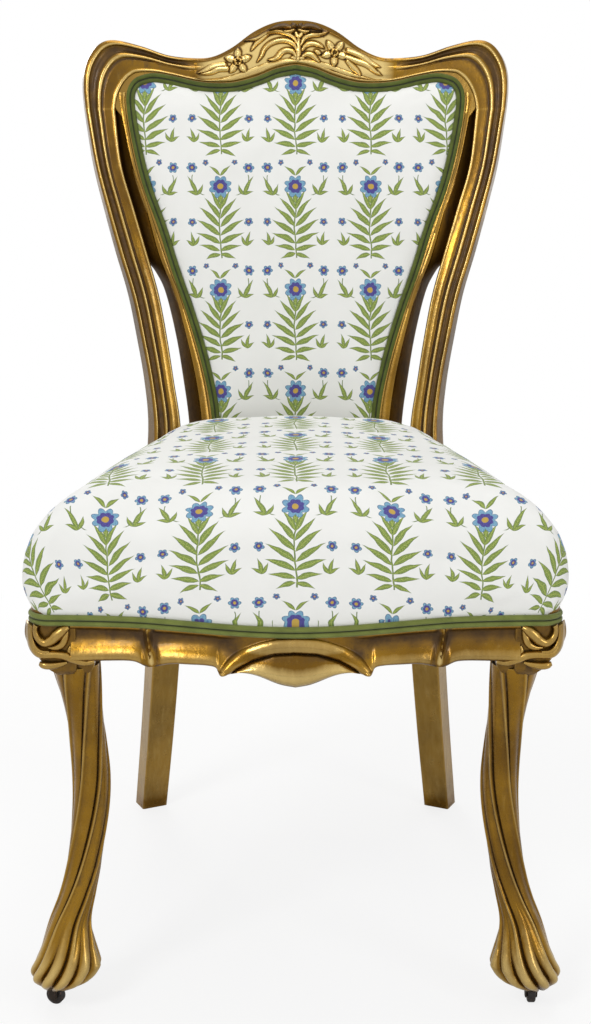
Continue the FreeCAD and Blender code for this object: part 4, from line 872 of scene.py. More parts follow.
def carving():
    """The carved spray: a thin relief that lies on the hump's face."""
    def spot(u, w):
        x = CARVING_HALF * (2 * u - 1)
        low, high = crest_edges(x)
        return x, low + (high - low) * (0.05 + 0.90 * w)

    spots = np.array([[spot(i / CARVING_STEPS, j / CARVING_ROWS)
                       for i in range(CARVING_STEPS + 1)] for j in range(CARVING_ROWS + 1)])
    x, z = spots[:, :, 0], spots[:, :, 1]
    height = np.maximum(stroke_height(x, z, CREST_STROKES + [CREST_BEAD]), flower_height(x, z))
    blurred = height.copy()
    for _ in range(9):
        blurred[1:-1, 1:-1] = (blurred[:-2, 1:-1] + blurred[2:, 1:-1] + blurred[1:-1, :-2]
                               + blurred[1:-1, 2:]) / 4
    rim_x = np.clip((CARVING_HALF - np.abs(x)) / 8, 0, 1)

    def read(table, u, w):
        return float(table[int(round(w * CARVING_ROWS)), int(round(u * CARVING_STEPS))])

    def place(u, w):
        x, z = spot(u, w)
        low, high = crest_edges(x)
        sunk = face_at((z - low) / (high - low))
        ear = ear_share(x)
        sunk = sunk[0] * ear + sunk[4] * (1 - ear)
        edge = min(read(rim_x, u, w), min(w, 1 - w) * 14, 1)
        raised = read(height, u, w) + 0.35 * edge - 0.9 * (1 - edge)
        return x, back_y(x, z) - CREST_DEPTH / 2 + sunk - raised, z

    # Painted light on the carving: the plain field is painted pale as a highlight where the hump
    # faces up, the hollows round the relief are painted dark as shade, and the top border and the
    # small top leaves are darker
    def shade_and_patina(u, w):
        near = read(blurred, u, w) - read(height, u, w)
        x, z = spot(u, w)
        bare = soft_step(CARVING_HALF - abs(x), 0, 26)
        shade = max(near * 1.3 + 0.02, 0.6 * soft_step(w, 0.80, 0.95))
        if abs(x) < 34 and w > 0.74:
            shade += 0.3
        shade = min(max(shade, 0), 1)
        return -0.5 * bare * (1 - shade) + shade * 0.95 + 0.3 * (1 - bare) * (1 - shade)
    return surface(CARVING_STEPS, CARVING_ROWS, place, (0.25, 0.06), wrapped=False, shade_and_patina=shade_and_patina)


finished("crest_carving", carving(), GILT, sharp=60)

# ---- the seat's plan ----------------------------------------------------------------------

SHOW_TOP, RAIL_BOTTOM, WELT_TOP = 391, 358, 401.5
FRONT_FACE, BULGE = -14, 22
FRONT_CORNER, REAR_CORNER, REAR_HOLLOW, REAR_SET_IN = 20, 10, 30, 25
SIDE_START, SIDE_MIDDLE, SIDE_END = (250, 6), (220, 217.5), (172, 429)
side_circle = circle_through(SIDE_START, SIDE_MIDDLE, SIDE_END)


def side_x(y, inset=0.0):
    """The bowed side of the seat, drawn in by an inset."""
    rise = y - side_circle[1]
    return side_circle[0] + math.sqrt((side_circle[2] - inset) ** 2 - rise * rise)


def seat_loop(inset, rear_inset=None, count=480):
    """The seat's outline in plan from the front's middle round by the right side."""
    rear_inset = inset if rear_inset is None else rear_inset
    front = FRONT_FACE + inset
    rear = BACK_LINE - REAR_SET_IN - rear_inset
    start_y = front + FRONT_CORNER
    front_x = side_x(start_y, inset)
    flat_x = front_x - FRONT_CORNER
    pinch_x = 0.54 * front_x
    hollow = REAR_HOLLOW * (side_x(rear, inset) / SIDE_END[0]) ** 2
    end_y = rear - hollow - REAR_CORNER
    rear_x = side_x(end_y, inset)
    bend = 1 - math.sqrt(0.5)
    middle_y = (start_y + end_y) / 2
    right = [
        (pinch_x, front - BULGE * 0.36), ((flat_x + pinch_x) / 2, front - BULGE * 0.08),
        (flat_x, front), (front_x - bend * FRONT_CORNER, front + bend * FRONT_CORNER),
        (front_x, start_y), (side_x(middle_y, inset), middle_y), (rear_x, end_y),
        (rear_x - bend * REAR_CORNER, end_y + (1 - bend) * REAR_CORNER),
        (rear_x - REAR_CORNER, rear - hollow),
    ]
    left = [(-x, y) for x, y in reversed(right)]
    marks = [(0, front - BULGE)] + right + [(0, rear)] + left
    starts = marks[-1:] + marks[1:-1:2]
    line = []
    for start, middle, end in zip(starts, marks[::2], starts[1:] + starts[:1]):
        line += bow(start, middle, end, 24)
    line = line[12:] + line[:12]
    return evenly(line, count)[:-1]


front_run = seat_loop(0, count=1600)
front_run = front_run[(front_run[:, 1] < 8)]
front_run = front_run[np.argsort(front_run[:, 0])]


def front_y(x):
    return float(np.interp(x, front_run[:, 0], front_run[:, 1]))


def front_dip(x, y, deepest=5.0):
    """How far the front's middle hangs lower than its ends."""
    swing = (1 + math.cos(math.pi * min(abs(x) / 150, 1))) / 2
    return deepest * swing * (1 - soft_step(y, 0, 90))


# ---- seat rails -----------------------------------------------------------------------------

APRON_ROWS = [
    (0, 1), (0.06, 0.79), (0.14, 0.27), (0.202, 0.14), (0.272, 0.36), (0.30, -0.13),
    (0.40, -0.12), (0.46, -0.04), (0.54, 0.28), (0.60, -0.04), (0.70, 0.0), (0.80, 0.10),
]
# A rail's face from its top edge down: share of the height, how far it stands out, and how dark
# it is painted: painted shade in the hollow top that faces down, painted highlight on the belly
RAIL_FACE = [
    (0.0, 0.6, .25), (0.05, 0.0, .35), (0.12, -2.6, .75), (0.24, -3.8, .80), (0.38, -2.8, .60),
    (0.52, -0.2, .35), (0.66, 2.8, .10), (0.80, 4.8, .00), (0.90, 4.4, .00), (0.96, 2.4, .30),
    (1.0, -0.6, .75),
]
ARCH = [(0, 383), (20, 381.5), (40, 375), (55, 366), (64, 357), (68, 353)]
RAIL_HALF, RAIL_STEPS, FACE_DOWN = 207, 560, 56
LENS_GAP, LENS_HALF, KNOB_X, PINCH_X = 6.5, 65, 68, 134
rail_face = curve_of(RAIL_FACE)
apron = curve_of(APRON_ROWS)


def arch_relief(x, z, bottom):
    """The raised arch over the rail's middle, its end knobs, and the full lens under it."""
    x = np.abs(x)
    ridge = stroke_height(x, z, [(8.6, 3.4, 5.0, ARCH)], 2.0)
    knob = 1 - ((x - KNOB_X) / 6) ** 2 - ((z - 353.5) / 5) ** 2
    crown = np.interp(x, [spot[0] for spot in ARCH], [spot[1] for spot in ARCH])
    gap = crown - z - LENS_GAP
    down = np.clip(gap / np.maximum(crown - bottom - LENS_GAP, 1), 0, 1)
    fade = np.sqrt(np.clip(1 - (x / LENS_HALF) ** 2, 0, 1))
    lens = 7.0 * np.sin(math.pi * down ** 1.7) ** 0.8 * fade
    groove = -2.4 * np.exp(-(gap / 1.5) ** 2) * fade
    inside = x < LENS_HALF
    lens = np.where(inside & (gap > 0), lens, 0) + np.where(inside, groove, 0)
    return np.where(gap > 0, lens, ridge + lens) + 3.4 * np.sqrt(np.clip(knob, 0, 1))


def front_rail():
    """The serpentine front rail: a rolled lower edge, pinches, and an arch in its middle."""
    ring = [(i / FACE_DOWN, None) for i in range(FACE_DOWN + 1)]
    ring += [(1.0, 6), (1.0, 14), (1.0, 22), (1.0, 27), (0.9, 28), (0.5, 28), (0.1, 28),
             (-0.3, 28), (-0.35, 22), (-0.35, 12), (-0.30, 7), (-0.1, 6.4), (0.0, 5)]
    run = [RAIL_HALF * (2 * i / RAIL_STEPS - 1) for i in range(RAIL_STEPS + 1)]
    plain = SHOW_TOP - RAIL_BOTTOM
    deep = [plain + 14 * apron(abs(x) / HALF)[0] for x in run]
    heights = np.array([[SHOW_TOP - down * (d if down > 0 else plain) for down, _ in ring]
                        for d in deep])
    relief = arch_relief(np.array(run)[:, None] + heights * 0, heights,
                         SHOW_TOP - np.array(deep)[:, None])

    def spot(u, w):
        return int(round(w * RAIL_STEPS)), ring_step(u, len(ring))

    def from_pinch(x, down):
        return abs(abs(x) - PINCH_X + 4 * (down - 0.5))

    def place(u, w):
        i, j = spot(u, w)
        down, back = ring[j]
        x, z = run[i], heights[i, j]
        z -= front_dip(x, 0)
        if back is not None:
            return x, front_y(x) + back, z
        away = from_pinch(x, down)
        ending = soft_step(away, 0, 10)
        calm = soft_step(abs(x), 44, 70)
        out = rail_face(down)[0] * ending * calm
        pinch = 3.8 * math.exp(-away / 1.7) - 1.2 * math.exp(-((away - 5) / 2.2) ** 2)
        out += pinch * math.sin(math.pi * min(down * 0.85 + 0.2, 1)) ** 0.6
        out += relief[i, j] * (1 - soft_step(down, 0.94, 1.0) * 0.5)
        return x, front_y(x) - out, z

    # Painted light on the front rail: shade in its hollow top, beside the pinch's ridge, on the
    # arch's ends and behind; highlight on the belly, the ridge, the raised arch and the lens's
    # lower part
    def shade_and_patina(u, w):
        i, j = spot(u, w)
        down, back = ring[j]
        if back is not None:
            return 0.45
        away = from_pinch(run[i], down)
        pinched = 0.45 * math.exp(-((away - 5.5) / 2.8) ** 2) - 0.45 * math.exp(-away / 1.8)
        calm = soft_step(abs(run[i]), 50, 72)
        raised = min(max(relief[i, j] / 3, -1), 1)
        bed = 0.40 - 0.45 * max(raised, 0) - 0.6 * min(raised, 0)
        bed += 0.3 * soft_step(down, 0.3, 0.5) - 0.5 * soft_step(down, 0.5, 0.8)
        bed += 0.5 * soft_step(abs(run[i]), 40, 68)
        return min(max(rail_face(down)[1] * calm + bed * (1 - calm) + pinched, -0.3), 0.95)
    return surface(len(ring), RAIL_STEPS, place, (0.13, 0.4), capped=True, shade_and_patina=shade_and_patina)


def right_side_rail():
    """A side rail, bowed in plan, with the front's rolled edge carried along plainly."""
    ring = [(i / 30, None) for i in range(31)]
    ring += [(1.0, 6), (1.0, 20), (1.0, 27), (0.9, 28), (0.3, 28), (-0.45, 28), (-0.45, 14),
             (-0.42, 7), (-0.1, 6.4), (0.0, 5)]
    start, end = 30, 420

    def spot(u, w):
        return start + (end - start) * w, ring[ring_step(u, len(ring))]

    def place(u, w):
        y, (down, back) = spot(u, w)
        z = SHOW_TOP - down * (SHOW_TOP - RAIL_BOTTOM)
        calm = 0.35 + 0.65 * soft_step(y, 40, 80) * (1 - soft_step(y, 380, 415))
        out = rail_face(down)[0] * calm if back is None else -back
        return side_x(y, -out), y, z

    # Painted shade in the hollow top and behind, painted highlight on the belly, as on the front
    # rail
    def shade_and_patina(u, w):
        _, (down, back) = spot(u, w)
        return rail_face(down)[1] if back is None else 0.45
    return surface(len(ring), 90, place, (0.13, 0.4), capped=True, shade_and_patina=shade_and_patina)


finished("serpentine_rail", front_rail(), GILT, ["front_seat_rail"], sharp=50)
gilt_on_both_sides(("rolled_rail_", right_side_rail, "right", "side_seat_rail_"))

# ---- front legs: blocks, volutes and twisted legs ---------------------------------------------

LEG_ROWS = [
    (0.0, 0.0, 1.15, 0.0), (0.044, 0.126, 1.77, 0.0), (0.080, 0.203, 1.86, 0.0),
    (0.131, 0.30, 1.635, 0.0), (0.218, 0.365, 1.165, 0.18), (0.297, 0.576, 0.99, 0.39),
    (0.381, 0.756, 0.99, 0.64), (0.5256, 0.944, 1.02, 0.96), (0.634, 1.0, 1.02, 1.0),
    (0.745, 0.956, 1.0, 0.89), (0.86, 0.880, 1.06, 0.66), (1.0, 0.72, 1.30, 0.5),
]
# How deep the ribs' hollows are up the leg, and how strongly they gather into toes
FLUTE_ROWS = [(0.0, 6.0, 1.0), (0.05, 7.6, 1.0), (0.10, 7.0, 0.9), (0.17, 5.2, 0.45),
              (0.28, 4.2, 0.1), (0.5, 4.0, 0.0), (0.8, 3.8, 0.0), (0.92, 3.0, 0.0),
              (1.0, 2.0, 0.0)]
# How far the ribs have turned in degrees up the leg: fast in the flared foot, slower above
TWIST_ROWS = [(0.0, 0), (0.1, 18), (0.25, 44), (0.35, 64), (0.45, 82), (0.6, 103), (0.72, 121),
              (0.86, 147), (1.0, 174)]
# One rib, as shares of a sixth of the turn: how deep it lies and how dark it is painted, with
# painted shade in its hollows
RIB_ROWS = [(0.0, 1.0, 1.0), (0.035, 0.5, 0.7), (0.09, 0.04, 0.1), (0.13, 0.0, 0.0),
            (0.18, 0.10, 0.05), (0.24, 0.42, 0.45), (0.32, 0.50, 0.40), (0.60, 0.38, 0.20),
            (0.85, 0.46, 0.30), (0.95, 0.62, 0.55), (0.98, 0.85, 0.9), (1.0, 1.0, 1.0)]
leg_row, flute_row = curve_of(LEG_ROWS), curve_of(FLUTE_ROWS)
twist_row, rib_row = curve_of(TWIST_ROWS), curve_of(RIB_ROWS)
LEG_ROUND, LEG_UP = 288, 200
FOOT_BASE, LEG_HEIGHT, LEG_RADIUS, LEG_SET_BACK = 14.5, 332.5, 17, 28
CASTER_INSET, INSET_SWING, RIB_TURN = 18.5, 34, 60


def leg_spot(u, w):
    """A place on the right leg's twisted and ribbed skin, with how dark it is painted: painted
    shade in the ribs' hollows.
    """
    inset, girth, back = leg_row(w)
    deep, toes = flute_row(w)
    angle = 360 * u
    first = -123 + 174 - twist_row(w)[0]
    phase = ((first - angle) / RIB_TURN) % 1.0
    sunk, dark = rib_row(phase)
    toe = 1 - math.sqrt(abs(math.sin(2 * math.pi * phase)))
    sunk, dark = sunk + (toe - sunk) * toes, dark + (toe - 0.28 - dark) * toes
    radius = LEG_RADIUS * girth + 1.2 - 0.3 * toes - deep * sunk
    heel = max(1 - abs(w - 0.095) / 0.05, 0) * max(math.cos(math.radians(angle - 195)), 0) ** 8
    radius += 4.5 * heel
    radius *= 0.84 + 0.16 * math.sqrt(soft_step(w, -0.004, 0.04))
    centre_x = HALF - (CASTER_INSET + INSET_SWING * inset)
    x = centre_x + radius * math.cos(math.radians(angle))
    y = LEG_SET_BACK * back + radius * math.sin(math.radians(angle))
    # The foot's underside is drawn up over the caster.
    lift = 7.5 * max(1 - w / 0.09, 0)
    return (x, y, FOOT_BASE + LEG_HEIGHT * w + lift), dark


BLOCK_STEPS, BLOCK_INSET = 140, 1.5
# The block's heights, and how full its outline is at each
BLOCK_LEVELS = [
    (341, 0.72), (343.5, 0.82), (346, 0.90), (349, 0.955), (353, 0.985), (358, 1.0), (368, 1.0),
    (378, 1.0), (385, 1.0), (389, 0.995), (391, 0.985), (391.5, 0.94), (404, 0.92),
]
# How far out the block reaches at a few heights: it is drawn in under the scroll
BLOCK_REACH = ((341, 345, 350, 357, 361, 368, 375), (221, 225, 231, 236, 239, 245.5, 250))


def right_leg():
    """The leg's shaft, and the block over it that the rails stand in."""
    # Painted shade in the ribs' hollows and at the foot's bottom edge
    def shade_and_patina(u, w):
        dark = leg_spot(u, w)[1]
        return min(dark * 0.9 + 0.35 * (1 - soft_step(w, 0, 0.04)), 0.95)
    shaft = surface(LEG_ROUND, LEG_UP, lambda u, w: leg_spot(u, w)[0], (0.11, 0.34),
                    capped=True, shade_and_patina=shade_and_patina)

    outline = [(186, 32), (186, front_y(186) + 7), (201, front_y(201) + 7)]
    outline += [(x, front_y(x) + BLOCK_INSET) for x in range(203, 231, 4)]
    bend = FRONT_CORNER - BLOCK_INSET
    outline += [(HALF - BLOCK_INSET - bend * (1 - math.sin(t)),
                 front_y(HALF - FRONT_CORNER) + BLOCK_INSET + bend * (1 - math.cos(t)))
                for t in np.linspace(0.1, math.pi / 2, 8)]
    outline += [(side_x(y) - BLOCK_INSET, y) for y in (10, 16, 22, 28, 32)]
    outline = evenly(outline, BLOCK_STEPS)
    middle = outline[:-1].mean(axis=0)
    levels = eased(BLOCK_LEVELS, 3)

    def block_place(u, w):
        spot = outline[ring_step(u, BLOCK_STEPS)]
        z, share = levels[int(round(w * (len(levels) - 1)))]
        x, y = middle + (spot - middle) * share
        return min(x, float(np.interp(z, *BLOCK_REACH))), y, z
    # The block is painted darker all over
    block = surface(BLOCK_STEPS, len(levels) - 1, block_place, (0.2, 0.06), capped=True,
                    shade_and_patina=lambda u, w: 0.55)
    return joined(shaft, block)


# The corner's scrolls, for the left side as it is seen: each has its places across and up,
# how far its middle stands in front of the block, and its radius at the places
VOLUTE_SCROLLS = [
    (1.4, [(-246.5, 391.5, 3.6), (-247.0, 385.0, 4.6), (-246.5, 378.0, 5.2),
           (-243.8, 370.8, 5.2), (-238.6, 365.4, 4.8), (-231.0, 363.6, 4.4),
           (-222.4, 363.6, 4.2), (-213.0, 362.6, 4.2), (-204.4, 358.8, 3.8),
           (-194.0, 355.8, 3.2), (-185.5, 357.5, 2.2)]),
    (4.8, [(-243.4, 391.0, 1.4), (-244.4, 385.0, 2.2), (-243.6, 377.5, 2.5),
           (-240.4, 371.0, 2.5), (-234.8, 367.2, 2.1), (-227.0, 366.8, 1.2)]),
    (2.8, [(-238.6, 391.5, 2.6), (-240.2, 387.6, 3.2), (-239.4, 382.4, 3.5),
           (-236.0, 377.6, 3.8), (-230.6, 375.2, 4.3), (-224.6, 377.9, 5.0),
           (-219.2, 382.9, 5.5), (-213.4, 387.4, 4.6), (-208.2, 390.1, 2.0)]),
    (1.6, [(-209.9, 386.6, 2.0), (-212.0, 380.4, 3.8), (-214.8, 374.0, 4.0), (-220.6, 370.6, 3.2),
           (-227.6, 370.0, 1.4)]),
    (1.6, [(-207.6, 372.0, 1.2), (-208.6, 367.4, 2.4), (-206.0, 364.6, 1.6)]),
    (1.6, [(-237.0, 354.4, 2.0), (-233.4, 353.4, 3.6), (-226.4, 352.8, 3.8), (-218.0, 354.0, 3.0),
           (-211.0, 356.0, 1.4)]),
]


def block_face(x):
    """The block's front, which bends back round the corner."""
    bent = abs(x) - (HALF - FRONT_CORNER)
    if bent <= 0:
        return front_y(abs(x))
    bent = min(bent, FRONT_CORNER - 0.5)
    return FRONT_FACE + FRONT_CORNER - math.sqrt(FRONT_CORNER ** 2 - bent ** 2)


def scroll(proud, places):
    """A tapering rod, half sunk in the block's face, that follows a scroll."""
    line = np.array(eased(places, 7))
    count = len(line) - 1
    ahead = np.gradient(line[:, :2], axis=0)
    ahead /= np.linalg.norm(ahead, axis=1)[:, None]

    def place(u, w):
        i = int(round(w * count))
        x, z, radius = line[i]
        along_x, along_z = ahead[i]
        angle = 2 * math.pi * u
        out, level = radius * math.cos(angle), radius * 1.15 * math.sin(angle)
        px = x - along_z * out
        return px, block_face(px) - proud * 0.8 + 1.4 - level, z + along_x * out

    # Painted shade on the scroll's back and sides where it meets the block, pale on its front
    def shade_and_patina(u, w):
        front = math.sin(2 * math.pi * u)
        return 0.75 - 0.75 * soft_step(front, 0.15, 0.75)
    return surface(20, count, place, (0.02, 0.06), capped=True, shade_and_patina=shade_and_patina)


def left_volute():
    """The scrolls on the corner block, and the lip that hangs under them."""
    return joined(*[scroll(proud, places) for proud, places in VOLUTE_SCROLLS])


gilt_on_both_sides(("twisted_leg_", right_leg, "right", "front_leg_"),
                   ("corner_volute_", left_volute, "left"), sharp=60)


# ---- welts ------------------------------------------------------------------------------------

def two_cords(spread, radius):
    """Places round two touching cords: along their row, and out from it."""
    meet = math.acos(-spread / 2 / radius)
    turns = np.linspace(-meet, meet, 17)[:-1]
    right = [(spread / 2 + radius * math.cos(t), radius * math.sin(t)) for t in turns]
    return right + [(-across, -out) for across, out in right]


def welt(path, row, out, spread, radius):
    """Two cords sewn side by side, that run round a closed path."""
    section = two_cords(spread, radius)
    count = len(path)
    run = float(run_along(path)[-1]) / 1000

    def place(u, w):
        i = ring_step(w, count)
        across, proud = section[ring_step(u, len(section))]
        return path[i] + row[i] * across + out[i] * proud

    # Painted shade in the crease where the two cords meet
    def shade_and_patina(u, w):
        across, _ = section[ring_step(u, len(section))]
        return math.exp(-(across / 0.7) ** 2)
    return surface(len(section), count, place, (0.03, run), shade_and_patina=shade_and_patina)


# How far out the seat's front corners are moved at a few heights
SWELL_ROWS = ((402, 412, 428, 446, 500), (-4.5, -1.0, 3.2, 3.2, 0))


def side_swell(x, z):
    """How far the seat's front corners stand out: drawn in at the welt, full above it."""
    return float(np.interp(z, *SWELL_ROWS)) * soft_step(abs(x), 205, 240) * (1 if x > 0 else -1)


def seat_welt():
    """The olive double welt that covers the cover's edge on the rails."""
    level = 396.3
    path = np.array([(x + side_swell(x, level), y) for x, y in seat_loop(-0.2, count=560)])
    out = loop_normals(path)
    count = len(path)
    spots = np.array([(x, y, level - front_dip(x, y)) for x, y in path])
    rise = np.tile([0.0, 0.0, 1.0], (count, 1))
    return welt(spots, rise, np.column_stack([out, np.zeros(count)]), 5.3, 2.7)


OPENING_ROWS = [
    (0.404, 0.123), (0.422, 0.2076), (0.466, 0.298), (0.525, 0.388), (0.595, 0.478),
    (0.658, 0.5686), (0.730, 0.659), (0.778, 0.749), (0.801, 0.816), (0.800, 0.852),
    (0.768, 0.877), (0.716, 0.888), (0.660, 0.891), (0.584, 0.886), (0.472, 0.875),
    (0.380, 0.871), (0.288, 0.873), (0.184, 0.885), (0.092, 0.901), (0.0, 0.909),
]


def back_loop(inset, count):
    """The padded panel's outline in the front elevation, drawn in by an inset."""
    right = [(a * HALF, RAIL_TOP + b * RISE) for a, b in OPENING_ROWS]
    right = [tuple(row) for row in eased(right, 6)]
    left = [(-x, z) for x, z in right[-2::-1]]
    loop = evenly(right + left, count)[:-1]
    return loop - loop_normals(loop) * inset


def back_welt(sunk, spread, radius, inset):
    """A double welt round the opening, on the front or the rear of the back."""
    loop = back_loop(inset, 620)
    spots = np.array([in_back(x, z, sunk) for x, z in loop])
    out = loop_normals(loop)
    row = np.column_stack([out[:, 0], np.zeros(len(out)), out[:, 1]])
    front = np.array([-straight_through(x, z) for x, z in loop])
    return welt(spots, row, front, spread, radius)


def opening_ledge():
    """The gilt ledge round the opening, broad in the ears' corners, that the pad lies on."""
    count = 400
    loop = back_loop(0, count)
    out = loop_normals(loop)

    def place(u, w):
        i = ring_step(w, count)
        x, z = loop[i]
        corner = soft_step(z, 850, 868)
        reach, deep = 5 + 8 * corner, 9.5 + 14.5 * corner
        section = [(-2, deep), (-2, 3), (-1.2, 1.7), (reach - 0.8, 1.7), (reach, 2.5),
                   (reach, deep)]
        away, sunk = section[ring_step(u, 6)]
        return in_back(x + out[i][0] * away, z + out[i][1] * away, sunk)
    return surface(6, count, place, shade_and_patina=lambda u, w: 0.35)


finished("opening_ledge", opening_ledge(), GILT, sharp=40)
finished("seat_double_welt", seat_welt(), OLIVE, ["seat_piping"], sharp=80)
finished("back_double_welt", back_welt(2.6, 5.4, 2.7, 5.8), GREEN,
         ["back_piping"], sharp=80)
finished("rear_double_welt", back_welt(26.6, 4.4, 2.2, 5.4), GREEN,
         ["rear_back_piping"], sharp=80)


# ---- the padded seat and back ---------------------------------------------------------------

DOME_ROWS = [
    (0.0, 0.0, 0.0), (-0.030, -0.010, 0.22), (-0.012, -0.002, 0.52), (0.040, 0.006, 0.71),
    (0.17, 0.030, 0.865), (0.47, 0.11, 0.955), (1.0, 0.37, 1.0),
]
SEAT_CROWN, SPREAD, STEPS_ROUND = 113, 150, 240
# The shares of the seat's skin that its underside and then its walls end at
UNDERSIDE, WALLS_END = 0.12, 0.8
BACK_HEART, PAD_EDGE = np.array([0.0, 720.0]), 5.4


def seat_form():
    """The stuffed seat: a dome over the rails, closed underneath."""
    rows = [(inset * SPREAD, rear * SPREAD, WELT_TOP + SEAT_CROWN * rise)
            for inset, rear, rise in DOME_ROWS]
    rows = eased([(8, 8, 391.6), (0.6, 0.6, 392.4), (-0.4, -0.4, 396)] + rows, 5)
    loops = [(seat_loop(inset + 1.5, rear + 1.5, STEPS_ROUND), z) for inset, rear, z in rows]
    middle = loops[-1][0].mean(axis=0)
    steps = len(loops) - 1

    def place(u, w):
        i = ring_step(u, STEPS_ROUND)
        if w < UNDERSIDE:
            loop, z = loops[0]
            x, y = middle + (loop[i] - middle) * (w / UNDERSIDE)
            return x + side_swell(x, z), y, z
        if w > WALLS_END:
            loop, z = loops[-1]
            share = (w - WALLS_END) / (1 - WALLS_END)
            x, y = loop[i] + (middle - loop[i]) * share
            return x, y, z + 2.2 * (1 - (1 - share) ** 2)
        loop, z = loops[int(round((w - UNDERSIDE) / (WALLS_END - UNDERSIDE) * steps))]
        x, y = loop[i]
        return x + side_swell(x, z), y, z - front_dip(x, y) * (1 - soft_step(z, 395, 450))
    return surface(STEPS_ROUND, 100, place)


def pad_form():
    """The back's stuffed panel: crowned inside its welt, and flat against its hessian."""
    count = 300
    loop = back_loop(8.5, count)
    flat_end, shoulder_end, border = 0.35, 0.6, 30

    def place(u, w):
        edge = loop[ring_step(u, count)]
        toward = BACK_HEART - edge
        reach = float(np.hypot(*toward))
        if w <= flat_end:
            x, z = BACK_HEART - toward * (w / flat_end)
            sunk = 8.6
        else:
            share = (w - flat_end) / (1 - flat_end)
            if share < shoulder_end:
                inset = border * share / shoulder_end
            else:
                inset = border + (reach - border) * (share - shoulder_end) / (1 - shoulder_end)
            x, z = edge + toward * (inset / reach)
            shoulder = min(inset / 26, 1)
            proud = 11.2 * math.sqrt(1 - (1 - shoulder) ** 2)
            proud *= 0.72 + 0.28 * min(max((z - 470) / 60, 0), 1)
            proud += 1.6 * soft_step(inset, 26, 120)
            sunk = PAD_EDGE - proud
        return in_back(x, z, sunk)
    return surface(count, 80, place)


def bake_modifiers(piece):
    """Makes a piece's modifiers part of its mesh."""
    bpy.context.view_layer.update()
    depsgraph = bpy.context.evaluated_depsgraph_get()
    piece.data = bpy.data.meshes.new_from_object(piece.evaluated_get(depsgraph))
    piece.modifiers.clear()


SWELL_FRAMES = 20


def stuffed(name, bm, voxel, held, cap):
    """Cloth over stuffing: the form swells by simulation, but not where it is held.

    It is made even with cells of that many millimetres, and moves no further than the cap.
    """
    piece = as_object(name, bm)
    remesh = piece.modifiers.new("remesh", "REMESH")
    remesh.mode, remesh.voxel_size, remesh.adaptivity = "VOXEL", voxel / 1000, 0
    bake_modifiers(piece)
    even = piece.data
    rest = [vertex.co.copy() for vertex in even.vertices]
    group = piece.vertex_groups.new(name="held")
    for vertex in even.vertices:
        group.add([vertex.index], held(vertex.co), "REPLACE")
    cloth = piece.modifiers.new("stuffing", "CLOTH")
    cloth.settings.use_pressure = True
    cloth.settings.uniform_pressure_force = 4
    cloth.settings.effector_weights.gravity = 0
    cloth.settings.vertex_group_mass = "held"
    cloth.point_cache.frame_start, cloth.point_cache.frame_end = 1, SWELL_FRAMES
    for step in range(1, SWELL_FRAMES + 1):
        scene.frame_set(step)
        bpy.context.view_layer.update()
    swollen = piece.evaluated_get(bpy.context.evaluated_depsgraph_get()).data
    limit = cap / 1000
    for vertex, before, after in zip(even.vertices, rest, swollen.vertices):
        move = after.co - before
        vertex.co = before + (move * (limit / move.length) if move.length > limit else move)
    piece.modifiers.clear()
    piece.vertex_groups.clear()
    scene.frame_set(1)
    bm = bmesh.new()
    bm.from_mesh(even)
    for _ in range(3):
        bmesh.ops.smooth_vert(bm, verts=bm.verts, factor=0.5, use_axis_x=True,
                              use_axis_y=True, use_axis_z=True)
    bmesh.ops.recalc_face_normals(bm, faces=bm.faces)
    bm.to_mesh(even)
    bm.free()
    for polygon in even.polygons:
        polygon.use_smooth = True
    finer = piece.modifiers.new("finer", "SUBSURF")
    finer.levels = finer.render_levels = 1
    bake_modifiers(piece)
    return piece


def charted(piece, chart_of):
    """Lays the printed cloth on a piece: each corner's place on the flat cloth."""
    layer = piece.data.uv_layers.new(name="chart")
    places = [chart_of(vertex.co) for vertex in piece.data.vertices]
    for loop in piece.data.loops:
        layer.data[loop.index].uv = places[loop.vertex_index]


def recoloured(piece, material):
    """Gives a piece that one material only."""
    piece.data.materials.clear()
    piece.data.materials.append(material)


def upholstered(piece, stands_for):
    """A stuffed piece in the printed cloth."""
    recoloured(piece, PRINT)
    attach(piece, "chair")
    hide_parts(*stands_for)


dome_curve = [(inset * SPREAD, SEAT_CROWN * rise) for inset, _, rise in DOME_ROWS]
dome_curve = np.array(eased(dome_curve, 6))
dome_run = run_along(dome_curve)
SEAT_MIDDLE, SEAT_HALF_DEEP = 205, 225
# How much longer the cloth's way down to a height is than its way out
DROP_ROWS = (dome_run[-1] - dome_run) - (dome_curve[-1, 0] - dome_curve[:, 0])


def seat_chart(spot):
    """The seat's cloth: flat over the crown, and down the walls on every side."""
    x, y, z = spot.x * 1000, (spot.y - FRONT_LINE) * 1000, spot.z * 1000
    drop = float(np.interp(z - WELT_TOP, dome_curve[:, 1], DROP_ROWS))
    slope_x = (x / HALF) ** 5 / HALF
    slope_y = ((y - SEAT_MIDDLE) / SEAT_HALF_DEEP) ** 5 / SEAT_HALF_DEEP
    steep = math.hypot(slope_x, slope_y) or 1
    return (x + drop * slope_x / steep) / 1000, (y + drop * slope_y / steep) / 1000 + 0.028


def back_chart(spot):
    """The back's cloth: flat, along the lean."""
    return spot.x, (spot.z - RAIL_TOP / 1000) / math.cos(LEAN_TURN) + 0.018


def seat_held(spot):
    """Held hard at the welt and underneath, and free on the crown."""
    return 1 - soft_step(spot.z * 1000, 400, 425)


def back_held(spot):
    """Held at the welt and behind, and free in front."""
    x, z = spot.x * 1000, spot.z * 1000
    face = back_y(x, z) - BACK_DEPTH / 2
    proud = face + PAD_EDGE - (spot.y - FRONT_LINE) * 1000
    return 1 - soft_step(proud, 1, 8)


